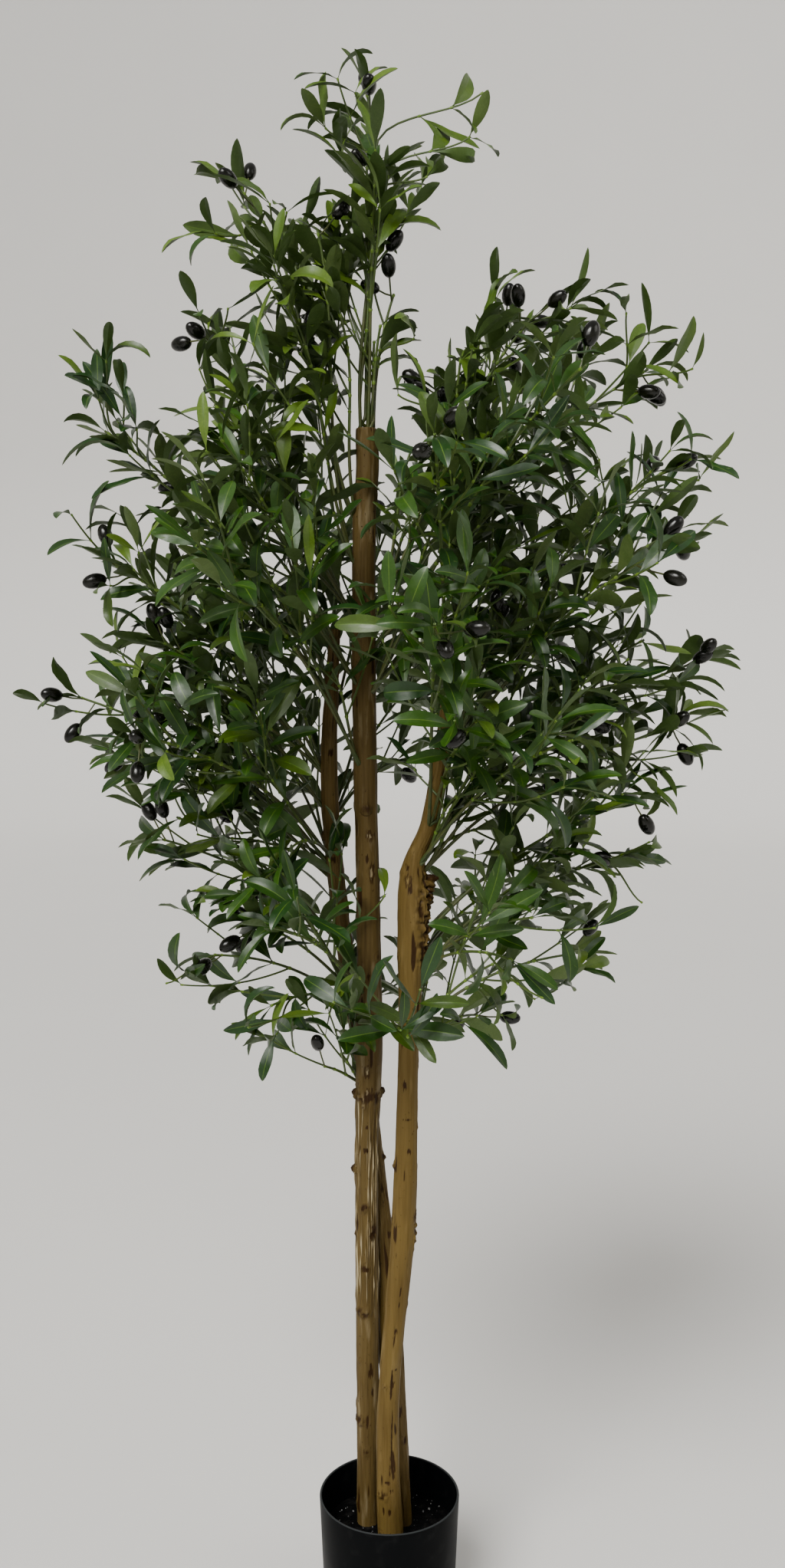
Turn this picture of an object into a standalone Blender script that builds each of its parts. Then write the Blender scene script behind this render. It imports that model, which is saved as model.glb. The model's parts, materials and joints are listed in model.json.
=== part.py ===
"""An artificial olive tree in its pot.

Three timber poles stand in a filled pot. Moulded sprays of leaves and olives are plugged
into holes along the poles and into their sawn tops. Each spray is one stem with side
twigs, leaves and fruit, grown by a seeded rule out to a tip on the crown's outline.

Metres, +Z up. The origin is the centre of the pot's flat underside. The front is -Y.
"""

import math
import random

import bmesh
import bpy
import numpy as np
from mathutils import Matrix, Vector
from mathutils.bvhtree import BVHTree
from mathutils.geometry import intersect_point_line

OBJECT_NAME = "artificial_olive_tree"
GAP = 0.0003
ROUND_ANGLE = math.radians(40)
UP = Vector((0.0, 0.0, 1.0))

# Pot and what fills it.
POT_HEIGHT = 0.165
POT_RIM_RADIUS = 0.090
POT_BASE_RADIUS = 0.083
POT_WALL = 0.003
POT_FLOOR = 0.004
POT_EDGE = 0.0008
POT_SIDES = 36
FILL_TOP = 0.118

# Poles: height, x, y and radius at the foot, at each bend or swelling, and at the top.
POLE_SIDES = 12
POLE_RINGS = 11
RINGS_APART = 0.02
POLES = {
    "trunk_tall": (
        (FILL_TOP + GAP, -0.028, 0.011, 0.0140),
        (0.332, -0.028, 0.008, 0.0148),
        (0.600, -0.029, 0.003, 0.0150),
        (0.760, -0.025, 0.001, 0.0167),
        (0.923, -0.026, 0.000, 0.0148),
        (1.120, -0.030, 0.000, 0.0149),
        (1.404, -0.032, 0.000, 0.0125),
        (1.480, -0.030, 0.000, 0.0108),
        (1.515, -0.029, 0.000, 0.0122),
    ),
    "trunk_right": (
        (FILL_TOP + GAP, 0.002, -0.030, 0.0162),
        (0.240, -0.002, -0.030, 0.0147),
        (0.342, 0.001, -0.030, 0.0133),
        (0.541, 0.018, -0.030, 0.0150),
        (0.775, 0.024, -0.030, 0.0129),
        (0.935, 0.029, -0.030, 0.0188),
        (0.988, 0.030, -0.030, 0.0136),
        (1.042, 0.050, -0.030, 0.0112),
        (1.200, 0.075, -0.030, 0.0100),
    ),
    "trunk_left": (
        (FILL_TOP + GAP, 0.018, 0.008, 0.0112),
        (0.318, 0.009, 0.018, 0.0110),
        (0.509, -0.006, 0.029, 0.0110),
        (0.707, -0.032, 0.039, 0.0112),
        (0.926, -0.064, 0.041, 0.0112),
        (1.083, -0.076, 0.041, 0.0113),
        (1.208, -0.072, 0.041, 0.0086),
        (1.275, -0.068, 0.041, 0.0066),
    ),
}
POLE_COLOURS = {
    "trunk_tall": (0.134, 0.093, 0.034, 1.0),
    "trunk_right": (0.165, 0.102, 0.030, 1.0),
    "trunk_left": (0.120, 0.083, 0.030, 1.0),
}

SHOOT_SIDES = 6
SHOOT_TAPER = 0.7
# Knots and sawn side shoots: pole, height, bearing in degrees, steepness, length, radius.
SHOOTS = (
    ("trunk_tall", 0.688, 180.0, 20.0, 0.0205, 0.0060),
    ("trunk_tall", 0.690, 0.0, 20.0, 0.0215, 0.0055),
    ("trunk_tall", 0.592, 185.0, 10.0, 0.0185, 0.0055),
    ("trunk_tall", 1.050, 270.0, 15.0, 0.0180, 0.0050),
    ("trunk_right", 0.528, 0.0, 55.0, 0.0230, 0.0075),
    ("trunk_right", 0.936, 5.0, 55.0, 0.0440, 0.0110),
    ("trunk_left", 1.010, 180.0, 30.0, 0.0160, 0.0045),
)

# The crown's outline: height of a spray's outer tip and its reach from the crown's axis.
LEFT_TIPS = (
    (0.740, 0.180),
    (0.870, 0.290),
    (0.935, 0.245),
    (1.040, 0.390),
    (1.160, 0.385),
    (1.212, 0.453),
    (1.290, 0.340),
    (1.385, 0.400),
    (1.550, 0.405),
    (1.700, 0.300),
)
RIGHT_TIPS = (
    (0.760, 0.160),
    (0.885, 0.290),
    (1.010, 0.355),
    (1.085, 0.370),
    (1.170, 0.420),
    (1.255, 0.445),
    (1.425, 0.415),
    (1.500, 0.395),
    (1.620, 0.375),
    (1.710, 0.250),
)
LEFT_CROWN_TOP = ((1.850, 0.225), (1.875, 0.150), (1.980, 0.060))
RIGHT_CROWN_TOP = ((1.745, 0.170), (1.770, 0.105), (1.860, 0.130), (1.925, 0.100), (1.980, 0.030))
LEFT_OUTLINE = LEFT_TIPS + LEFT_CROWN_TOP
RIGHT_OUTLINE = RIGHT_TIPS + RIGHT_CROWN_TOP
CROWN_BOTTOM = 0.728
OUTLINE_SLACK = 1.03
QUARTER_LEVELS = (0.950, 1.170, 1.380, 1.580)
QUARTER_TURNS = (4.0, -10.0, 9.0, -4.0)
MIDDLE_LEVELS = (0.790, 1.300, 1.500)
DEPTH_SHARE = 0.88

# Sprays that make the crown's top: pole, hole height, then x, y and height of the outer tip.
LEADERS = {
    "spray_top": ("trunk_tall", 1.515, -0.045, 0.000, 1.974),
    "spray_top_front": ("trunk_tall", 1.515, 0.020, -0.055, 1.930),
    "spray_top_right": ("trunk_tall", 1.515, 0.128, 0.015, 1.860),
    "spray_top_back": ("trunk_tall", 1.515, 0.000, 0.090, 1.790),
    "spray_top_left": ("trunk_tall", 1.430, -0.222, 0.020, 1.850),
    "spray_top_mid_left": ("trunk_tall", 1.375, -0.140, -0.060, 1.868),
    "spray_crown_right": ("trunk_right", 1.200, 0.100, -0.060, 1.757),
    "spray_crown_far_right": ("trunk_right", 1.200, 0.175, 0.030, 1.730),
}

# A stem's hole: how far below its tip at the bottom of the crown and how much more at the top.
HOLE_DROP = 0.02
HOLE_DROP_MORE = 0.40
HOLE_BELOW_TOP = 0.03
HOLE_ON_TOP = 0.62
HOLE_SHIFT = 0.02
TIP_SWING = 0.03

# How steeply a stem leaves its hole and how it leans at its tip, in degrees, for no rise
# and the change to all rise, with the lengths of its curve's two handles.
STEEP = (30.0, 52.0)
STEEP_FROM_TOP = 88.0
LEAN = (-18.0, 95.0)
HANDLES = (0.40, 0.33)

# Stems and the twigs on them.
FIRST_SEED = 500
STEM_SAMPLES = 60
STEM_RINGS = (0.0, 0.07, 0.32, 0.66, 1.0)
STEM_STEPS = 15
STEM_RADII = (0.0028, 0.0021)
STEM_CLEAR = 0.0062
LAUNCH_CLEAR = 0.0032
POLE_CLEAR = 0.0045
STEM_TRIES = 200
TWIGS = 2
TWIG_SPAN = (0.48, 0.76)
TWIG_LENGTHS = (0.130, 0.100)
TWIG_SPREAD = math.radians(40)
TWIG_LIFT = 0.15
TWIG_RADII = (0.0019, 0.0017)
TWIG_CLEAR = 0.004
TWIG_POLE_CLEAR = 0.006
TURNS_TRIED = 6
ROOT_SUNK = 0.0008
GOLDEN_TURN = math.radians(137.5)

# Leaves and olives, larger than life because there are fewer of them.
TIP_LEAF_LENGTH = 0.068
LEAF_LENGTH = 0.106
LEAF_WIDTH = 0.031
LEAF_THICKNESS = 0.0022
LEAF_WIDEST = 0.45
LEAF_SPREAD = math.radians(46)
STEM_PAIRS = (0.93, 0.72)
LEAF_TRIES = 4
LEAF_TURN = math.radians(50)
TWIG_PAIR = 0.62
LEAF_CLEAR = 0.003
LEAF_LENGTHS = (0.9, 1.08)
LEAF_UPWARD = 0.5
OWN_SHARE = 0.4
OLIVE_LENGTH = 0.027
OLIVE_RADIUS = 0.0088
FRUITING = ("spray_left", "spray_right", "spray_top")
FRUIT_ALONG = 0.93
STALK_LENGTH = 0.020
STALK_RADIUS = 0.0012
STALK_SUNK = 0.003
STALK_SPREAD = math.radians(60)
GREENS = ((0.030, 0.050, 0.018, 1.0), (0.036, 0.060, 0.020, 1.0), (0.042, 0.066, 0.026, 1.0))


# ---- Collections and materials ----

def clear_scene():
    """Empty the scene so that the model starts from nothing."""
    for thing in list(bpy.data.objects):
        bpy.data.objects.remove(thing, do_unlink=True)


def new_collection(name):
    """A collection linked to the scene."""
    collection = bpy.data.collections.new(name)
    bpy.context.scene.collection.children.link(collection)
    return collection


def new_material(name, colour, roughness):
    """A plain Principled material."""
    material = bpy.data.materials.new(name)
    material.use_nodes = True
    shader = material.node_tree.nodes["Principled BSDF"]
    shader.inputs["Base Color"].default_value = colour
    shader.inputs["Roughness"].default_value = roughness
    shader.inputs["Metallic"].default_value = 0.0
    material.diffuse_color = colour
    return material


def new_object(name, shape, collection, material=None):
    """An object from a bmesh, which is then freed."""
    mesh = bpy.data.meshes.new(name)
    bmesh.ops.recalc_face_normals(shape, faces=shape.faces)
    shape.to_mesh(mesh)
    shape.free()
    thing = bpy.data.objects.new(name, mesh)
    collection.objects.link(thing)
    if material:
        mesh.materials.append(material)
    return thing


def fuse(base, pieces):
    """Join the pieces of a collection to the base with one Boolean, then remove them."""
    union = base.modifiers.new("fuse", "BOOLEAN")
    union.operation = "UNION"
    union.operand_type = "COLLECTION"
    union.collection = pieces
    union.solver = "MANIFOLD"
    bpy.context.view_layer.update()
    fused = bpy.data.meshes.new_from_object(base.evaluated_get(bpy.context.evaluated_depsgraph_get()))
    base.modifiers.clear()
    base.data = fused
    drop_scrap(fused)
    for piece in list(pieces.objects):
        bpy.data.objects.remove(piece, do_unlink=True)
    bpy.data.collections.remove(pieces)


def shade_round(thing):
    """Shade a round piece smooth, with its sharp edges kept."""
    for polygon in thing.data.polygons:
        polygon.use_smooth = True
    thing.data.set_sharp_from_angle(angle=ROUND_ANGLE)


def drop_scrap(mesh):
    """Keep only the largest connected piece of a mesh."""
    shape = bmesh.new()
    shape.from_mesh(mesh)
    waiting = set(shape.verts)
    groups = []
    while waiting:
        edge_of_group = [waiting.pop()]
        group = set(edge_of_group)
        while edge_of_group:
            corner = edge_of_group.pop()
            for edge in corner.link_edges:
                other = edge.other_vert(corner)
                if other in waiting:
                    waiting.remove(other)
                    group.add(other)
                    edge_of_group.append(other)
        groups.append(group)
    groups.sort(key=len)
    for group in groups[:-1]:
        bmesh.ops.delete(shape, geom=list(group), context="VERTS")
    shape.to_mesh(mesh)
    shape.free()


# ---- Shapes ----

def extrude_end(shape, end, place):
    """Extrude a tube's end face and put each new corner where the function says."""
    first = len(shape.faces) == 1
    made = bmesh.ops.extrude_face_region(shape, geom=[end])["geom"]
    if not first:
        bmesh.ops.delete(shape, geom=[end], context="FACES_ONLY")
    end = next(item for item in made if isinstance(item, bmesh.types.BMFace))
    for corner in end.verts:
        corner.co = place(corner.co)
    return end


def tube(rings, sides):
    """A closed tube through rings, each a centre, a direction and a radius."""
    shape = bmesh.new()
    centre, heading, radius = rings[0]
    turn = UP.rotation_difference(heading)
    bmesh.ops.create_circle(shape, cap_ends=True, segments=sides, radius=radius)
    bmesh.ops.transform(shape, matrix=Matrix.LocRotScale(centre, turn, None), verts=shape.verts)
    shape.faces.ensure_lookup_table()
    end = shape.faces[0]
    for there, towards, width in rings[1:]:
        bend = heading.rotation_difference(towards)
        swell = width / radius
        end = extrude_end(shape, end, lambda co: there + (bend @ (co - centre)) * swell)
        centre, heading, radius = there, towards, width
    return shape


def leaf(root, heading, face, length, width):
    """A lance-shaped blade of eight faces, with its root at one point."""
    shape = bmesh.new()
    bmesh.ops.create_uvsphere(shape, u_segments=4, v_segments=2, radius=1.0)
    for corner in shape.verts:
        if abs(corner.co.z) > 0.5:
            corner.co.z = 1.0 if corner.co.z > 0.0 else 0.0
        else:
            corner.co.z = LEAF_WIDEST
    bmesh.ops.scale(shape, vec=(width / 2, LEAF_THICKNESS / 2, length), verts=shape.verts)
    bmesh.ops.transform(shape, matrix=facing(root, heading, face), verts=shape.verts)
    return shape


def olive(top, heading):
    """An oval fruit that hangs from its top along the heading."""
    shape = bmesh.new()
    bmesh.ops.create_uvsphere(shape, u_segments=6, v_segments=3, radius=1.0)
    bmesh.ops.scale(shape, vec=(OLIVE_RADIUS, OLIVE_RADIUS, OLIVE_LENGTH / 2), verts=shape.verts)
    bmesh.ops.translate(shape, vec=(0.0, 0.0, OLIVE_LENGTH / 2), verts=shape.verts)
    bmesh.ops.transform(shape, matrix=facing(top, heading, UP), verts=shape.verts)
    return shape


def facing(origin, heading, face):
    """A frame with Z along the heading and Y as near as it can be to the face direction."""
    across = face.cross(heading)
    if across.length < 1e-4:
        across = heading.orthogonal()
    across.normalize()
    normal = heading.cross(across)
    frame = Matrix((across, normal, heading)).transposed().to_4x4()
    frame.translation = origin
    return frame


# ---- Pot and poles ----

def turned(name, profile, collection, material):
    """A solid turned about Z from a profile that runs down its outer side."""
    shape = bmesh.new()
    corners = [shape.verts.new((radius, 0.0, height)) for radius, height in profile]
    for upper, lower in zip(corners, corners[1:]):
        shape.edges.new((upper, lower))
    mesh = bpy.data.meshes.new(name)
    shape.to_mesh(mesh)
    shape.free()
    mesh.materials.append(material)
    thing = bpy.data.objects.new(name, mesh)
    collection.objects.link(thing)
    screw = thing.modifiers.new("turn", "SCREW")
    screw.steps = POT_SIDES
    screw.render_steps = POT_SIDES
    screw.use_merge_vertices = True
    screw.merge_threshold = 0.00001
    screw.use_smooth_shade = True


def pot_radius(height):
    """The pot's outer radius at a height."""
    return POT_BASE_RADIUS + (POT_RIM_RADIUS - POT_BASE_RADIUS) * height / POT_HEIGHT


def make_pot(collection):
    """The pot: a tapered shell with a flat floor and a plain, slightly rounded rim."""
    profile = (
        (POT_RIM_RADIUS - POT_WALL + POT_EDGE, POT_HEIGHT),
        (POT_RIM_RADIUS - POT_EDGE, POT_HEIGHT),
        (POT_RIM_RADIUS, POT_HEIGHT - POT_EDGE),
        (POT_BASE_RADIUS, 2 * POT_EDGE),
        (POT_BASE_RADIUS - 2 * POT_EDGE, 0.0),
        (0.0, 0.0),
    )
    inner = (
        (0.0, POT_FLOOR),
        (pot_radius(POT_FLOOR) - POT_WALL, POT_FLOOR),
        (POT_RIM_RADIUS - POT_WALL, POT_HEIGHT - POT_EDGE),
        (POT_RIM_RADIUS - POT_WALL + POT_EDGE, POT_HEIGHT),
    )
    material = new_material("pot_black_plastic", (0.008, 0.009, 0.010, 1.0), 0.5)
    turned("pot", profile + inner, collection, material)


def make_filler(collection):
    """The set filler that holds the poles, clear of the pot's wall and floor."""
    low = POT_FLOOR + GAP
    profile = (
        (0.0, FILL_TOP),
        (pot_radius(FILL_TOP) - POT_WALL - GAP, FILL_TOP),
        (pot_radius(low) - POT_WALL - GAP, low),
        (0.0, low),
    )
    material = new_material("filler_black_mortar", (0.007, 0.007, 0.006, 1.0), 0.95)
    turned("pot_filler", profile, collection, material)


def pole_at(pole, height):
    """Centre and radius of a pole at a height, on a smooth curve through its stations."""
    rows = np.array(POLES[pole])
    height = min(max(height, rows[0, 0]), rows[-1, 0])
    here = min(int(np.searchsorted(rows[:, 0], height, side="right")) - 1, len(rows) - 2)
    ends = rows[here:here + 2]
    span = ends[1, 0] - ends[0, 0]
    slopes = []
    for row in (here, here + 1):
        before, after = rows[max(row - 1, 0)], rows[min(row + 1, len(rows) - 1)]
        slopes.append((after - before)[1:] / (after - before)[0] * span)
    share = (height - ends[0, 0]) / span
    square, cube = share ** 2, share ** 3
    value = (
        (2 * cube - 3 * square + 1) * ends[0, 1:]
        + (cube - 2 * square + share) * slopes[0]
        + (3 * square - 2 * cube) * ends[1, 1:]
        + (cube - square) * slopes[1]
    )
    return Vector((value[0], value[1], height)), value[2]


def pole_top(pole):
    """Height of a pole's sawn top."""
    return POLES[pole][-1][0]


def make_pole(pole, collection):
    """A pole of level rings from its flat foot to its flat top, with its shoots fused on."""
    stations = [row[0] for row in POLES[pole]]
    evenly = np.linspace(stations[0], stations[-1], POLE_RINGS)
    heights = sorted(set(stations) | {
        h for h in evenly if min(abs(h - s) for s in stations) > RINGS_APART
    })
    rings = []
    for height in heights:
        centre, radius = pole_at(pole, height)
        rings.append((centre, UP, radius))
    material = new_material(f"{pole}_wood", POLE_COLOURS[pole], 0.75)
    thing = new_object(pole, tube(rings, POLE_SIDES), collection, material)
    shoots = new_collection(f"{pole}_shoots")
    for number, (*place, radius) in enumerate(SHOOTS):
        if place[0] != pole:
            continue
        root, tip = shoot_ends(*place)
        heading = (tip - root).normalized()
        ends = [(root, heading, radius), (tip, heading, radius * SHOOT_TAPER)]
        new_object(f"shoot_{number}", tube(ends, SHOOT_SIDES), shoots)
    fuse(thing, shoots)
    shade_round(thing)


# ---- Where the sprays go ----

def direction(bearing):
    """A level unit vector: 0 degrees is right, 90 is back, 180 is left and 270 is front."""
    return Vector((math.cos(math.radians(bearing)), math.sin(math.radians(bearing)), 0.0))


def outline_reach(tips, height):
    """Reach of one side of the crown at a height."""
    heights, reaches = zip(*tips)
    return float(np.interp(height, heights, reaches))


def crown_tip(height, bearing):
    """The outer tip of a spray at a height and bearing."""
    along = direction(bearing)
    side = RIGHT_TIPS if along.x > 0.0 else LEFT_TIPS
    return Vector((
        along.x * outline_reach(side, height),
        along.y * outline_depth(height),
        height,
    ))


def outline_depth(height):
    """Reach of the crown to the front and back at a height."""
    both = outline_reach(RIGHT_OUTLINE, height) + outline_reach(LEFT_OUTLINE, height)
    return DEPTH_SHARE * both / 2


def within_crown(point):
    """Whether a point is inside the crown's outline."""
    if point.z < CROWN_BOTTOM or point.z > LEFT_OUTLINE[-1][0]:
        return False
    side = RIGHT_OUTLINE if point.x > 0.0 else LEFT_OUTLINE
    across = point.x / outline_reach(side, point.z)
    deep = point.y / outline_depth(point.z)
    return math.hypot(across, deep) < OUTLINE_SLACK


def hole_height(height):
    """How high on its pole the stem of a spray starts, for the height of its tip."""
    lowest, highest = LEFT_TIPS[0][0], RIGHT_TIPS[-1][0]
    share = (height - lowest) / (highest - lowest)
    return height - HOLE_DROP - HOLE_DROP_MORE * share


def nearest_pole(tip, height):
    """The pole nearest to a tip among those tall enough to hold a hole at the height."""
    tall = [pole for pole in POLES if pole_top(pole) > height + HOLE_BELOW_TOP]
    return min(tall, key=lambda pole: (pole_at(pole, height)[0] - tip).xy.length)


def spray_plan():
    """Each spray's name, pole, hole height and outer tip, from the outline's named sizes."""
    plan = []
    for side, tips, bearing in (("left", LEFT_TIPS, 180.0), ("right", RIGHT_TIPS, 0.0)):
        for number, (height, reach) in enumerate(tips, 1):
            plan.append((f"spray_{side}_{number:02d}", direction(bearing) * reach + UP * height))
    corners = (("back_right", 45.0), ("back_left", 135.0), ("front_left", 225.0), ("front_right", 315.0))
    for level, (height, turn) in enumerate(zip(QUARTER_LEVELS, QUARTER_TURNS), 1):
        for corner, bearing in corners:
            plan.append((f"spray_{corner}_{level}", crown_tip(height, bearing + turn)))
    for level, height in enumerate(MIDDLE_LEVELS, 1):
        for corner, bearing in (("front", 276.0), ("back", 84.0)):
            plan.append((f"spray_{corner}_{level}", crown_tip(height, bearing)))
    placed = []
    for name, tip in plan:
        height = hole_height(tip.z)
        placed.append((name, nearest_pole(tip, height), height, tip))
    for name, (pole, height, *tip) in LEADERS.items():
        placed.append((name, pole, height, Vector(tip)))
    return placed


def stem_course(pole, height, tip):
    """Evenly numbered points on a stem that leaves its hole steeply and leans over to its tip."""
    centre, radius = pole_at(pole, height)
    out = Vector((tip.x - centre.x, tip.y - centre.y, 0.0)).normalized()
    from_top = height >= pole_top(pole)
    start = centre + out * (radius * HOLE_ON_TOP if from_top else radius + GAP)
    reach = (tip - start).xy.length
    rise = max(tip.z - start.z, 0.0)
    share = rise / (rise + reach)
    steep = math.radians(STEEP_FROM_TOP if from_top else STEEP[0] + STEEP[1] * share)
    lean = math.radians(LEAN[0] + LEAN[1] * share)
    heading = out * math.cos(lean) + UP * math.sin(lean)
    end = tip - heading * TIP_LEAF_LENGTH
    length = (end - start).length
    near = start + (out * math.cos(steep) + UP * math.sin(steep)) * length * HANDLES[0]
    far = end - heading * length * HANDLES[1]
    course = []
    for number in range(STEM_SAMPLES + 1):
        t = number / STEM_SAMPLES
        s = 1.0 - t
        course.append(start * s ** 3 + near * 3 * s * s * t + far * 3 * s * t * t + end * t ** 3)
    return course


def shoot_ends(pole, height, bearing, steep, length):
    """Root and tip of a shoot, on its pole's axis and outside it."""
    centre, _ = pole_at(pole, height)
    rise = math.radians(steep)
    heading = direction(bearing) * math.cos(rise) + UP * math.sin(rise)
    return centre, centre + heading * length


def straightened(bends):
    """Points along straight runs from bend to bend, with as many on each run."""
    course = [bends[0]]
    for start, end in zip(bends, bends[1:]):
        for step in range(1, STEM_STEPS + 1):
            course.append(start.lerp(end, step / STEM_STEPS))
    return course


def clear_of_poles(points, margin):
    """Whether points keep off every pole and its shoots by a margin."""
    for *place, radius in SHOOTS:
        root, tip = shoot_ends(*place)
        for point in points:
            nearest, share = intersect_point_line(point, root, tip)
            nearest = root.lerp(tip, min(max(share, 0.0), 1.0))
            if (point - nearest).length < radius + margin:
                return False
    for point in points:
        for pole in POLES:
            if point.z < pole_top(pole) + margin:
                centre, radius = pole_at(pole, point.z)
                if (point - centre).xy.length < radius + margin:
                    return False
    return True


def apart(course, others, distance):
    """Whether a stem's points keep a distance from those of the other stems."""
    here = np.array(course)
    for other in others:
        between = here[:, None, :] - np.array(other)[None, :, :]
        if np.min(np.sum(between ** 2, axis=2)) < distance ** 2:
            return False
    return True


def place_stems():
    """Each spray with a stem clear of the poles and of the other stems."""
    sprays = []
    for number, (name, pole, height, tip) in enumerate(spray_plan()):
        draw = random.Random(FIRST_SEED + number)
        for attempt in range(STEM_TRIES):
            shift = 0.0
            if height < pole_top(pole):
                shift = draw.uniform(-HOLE_SHIFT, HOLE_SHIFT) * (1 + attempt / 8)
            swing = Vector((0.0, draw.uniform(-TIP_SWING, TIP_SWING) * (1 + attempt / 10), 0.0))
            smooth = stem_course(pole, height + shift, tip + swing)
            bends = [on_course(smooth, along)[0] for along in STEM_RINGS]
            course = straightened(bends)
            launch, rest = course[STEM_STEPS // 2:STEM_STEPS], course[STEM_STEPS:]
            free = clear_of_poles(launch, LAUNCH_CLEAR) and clear_of_poles(rest, POLE_CLEAR)
            if free and apart(course, [spray["course"] for spray in sprays], STEM_CLEAR):
                spray = {"name": name, "pole": pole, "bends": bends, "course": course, "draw": draw}
                sprays.append(spray)
                break
        else:
            raise ValueError(f"{name} has no clear way to its tip")
    return sprays


# ---- What grows on a stem ----

class Space:
    """What has been placed, so that a new piece can keep clear of it."""

    def __init__(self):
        self.rows = []
        self.trees = []

    def add(self, owner, start, end, radius, tree=None):
        self.rows.append((owner, *start, *end, radius))
        self.trees.append(tree)

    def distances(self, start, end):
        """Distance from each placed piece to points along a segment, one row a point."""
        rows = np.array(self.rows)
        begins, spans = rows[:, 1:4], rows[:, 4:7] - rows[:, 1:4]
        lengths = np.maximum(np.sum(spans ** 2, axis=1), 1e-12)
        found = []
        for step in np.linspace(0.0, 1.0, 10):
            point = np.array(start.lerp(end, step))
            along = np.clip(np.sum((point - begins) * spans, axis=1) / lengths, 0.0, 1.0)
            found.append(np.linalg.norm(point - begins - spans * along[:, None], axis=1))
        return np.array(found), rows

    def free(self, owner, start, end, radius, tree=None):
        """Whether a piece is clear of other sprays', and not laid along its own spray's."""
        found, rows = self.distances(start, end)
        reach = rows[:, 7] + radius
        own = rows[:, 0] == owner
        if np.any(found[4:, own] < reach[own] * OWN_SHARE):
            return False
        for number in np.nonzero(~own & np.any(found < reach, axis=0))[0]:
            other = self.trees[number]
            if tree is None or other is None or tree.overlap(other):
                return False
        return True


def on_course(course, along):
    """Point and heading at a share of a stem's length."""
    steps = [(after - before).length for before, after in zip(course, course[1:])]
    left = along * sum(steps)
    here = 0
    while here < len(steps) - 1 and left > steps[here]:
        left -= steps[here]
        here += 1
    point = course[here].lerp(course[here + 1], min(left / steps[here], 1.0))
    return point, (course[here + 1] - course[here]).normalized()


def aside_from(heading, roll):
    """A unit vector square to the heading, turned about it."""
    side = heading.cross(UP)
    if side.length < 0.05:
        side = Vector((1.0, 0.0, 0.0))
    side = (side - heading * side.dot(heading)).normalized()
    return side * math.cos(roll) + heading.cross(side) * math.sin(roll)


def tilted(heading, side, spread):
    """The heading turned towards a side by the spread."""
    return (heading * math.cos(spread) + side * math.sin(spread)).normalized()


def grow_twigs(sprays, space):
    """Twigs in golden turns along each stem, turned on or left out where the way is not clear."""
    for owner, spray in enumerate(sprays):
        spray["twigs"] = []
        start_roll = spray["draw"].uniform(0.0, math.tau)
        for number in range(TWIGS):
            share = number / (TWIGS - 1)
            along = TWIG_SPAN[0] + (TWIG_SPAN[1] - TWIG_SPAN[0]) * share
            length = TWIG_LENGTHS[0] + (TWIG_LENGTHS[1] - TWIG_LENGTHS[0]) * share
            root, heading = on_course(spray["course"], along)
            for turn in range(TURNS_TRIED):
                roll = start_roll + GOLDEN_TURN * number + math.tau * turn / TURNS_TRIED
                towards = tilted(heading, aside_from(heading, roll), TWIG_SPREAD)
                towards = (towards + UP * TWIG_LIFT).normalized()
                end = root + towards * length
                points = [root.lerp(end, step / 6) for step in range(7)]
                clear = within_crown(end) and clear_of_poles(points, TWIG_POLE_CLEAR)
                if clear and space.free(owner, root, end, TWIG_CLEAR):
                    spray["twigs"].append((root, end))
                    space.add(owner, root, end, TWIG_RADII[0])
                    break


def leaf_sites(spray):
    """Where leaves sit, as root, the shoot's heading, turn round it, spread from it and length."""
    end, heading = on_course(spray["course"], 1.0)
    nodes = [on_course(spray["course"], along) for along in STEM_PAIRS]
    ends = [(end, heading)]
    for root, tip in spray["twigs"]:
        heading = (tip - root).normalized()
        ends.append((tip, heading))
        nodes.append((root.lerp(tip, TWIG_PAIR), heading))
    sites = [(root, heading, 0.0, 0.0, TIP_LEAF_LENGTH) for root, heading in ends]
    for root, heading in nodes:
        roll = spray["draw"].uniform(-0.5, 0.5)
        for side in (0.0, math.pi):
            length = LEAF_LENGTH * spray["draw"].uniform(*LEAF_LENGTHS)
            sites.append((root, heading, roll + side, LEAF_SPREAD, length))
    return sites


def leaf_tree(root, heading, face, length):
    """Search tree of a leaf drawn a little larger, which keeps a clearance round it."""
    shape = leaf(root, heading, face, length + LEAF_CLEAR, LEAF_WIDTH + LEAF_CLEAR)
    tree = BVHTree.FromBMesh(shape)
    shape.free()
    return tree


def grow_leaves(sprays, space):
    """Leaves dealt out in turn to the sprays, each kept only where it is clear."""
    for spray in sprays:
        spray["sites"] = leaf_sites(spray)
        spray["leaves"] = []
    for turn in range(max(len(spray["sites"]) for spray in sprays)):
        for owner, spray in enumerate(sprays):
            if turn < len(spray["sites"]):
                place_leaf(owner, spray, spray["sites"][turn], space)


def place_leaf(owner, spray, site, space):
    """Put a leaf on its site, turned round the shoot until it is clear, or leave it out."""
    root, shoot, roll, spread, length = site
    half = LEAF_WIDTH / 2
    for attempt in range(LEAF_TRIES):
        heading = tilted(shoot, aside_from(shoot, roll + attempt * LEAF_TURN), spread)
        end = root + heading * length
        points = [root.lerp(end, step / 6) for step in range(1, 7)]
        face = Vector([spray["draw"].uniform(-1.0, 1.0) for _ in range(3)]) + UP * LEAF_UPWARD
        inside = not spray["leaves"] or within_crown(end)
        if not inside or not clear_of_poles(points, half):
            continue
        tree = leaf_tree(root, heading, face, length)
        if space.free(owner, root, end, half, tree):
            spray["leaves"].append((root, heading, face, length))
            space.add(owner, root + heading * length * 0.3, end, half, tree)
            return


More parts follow.
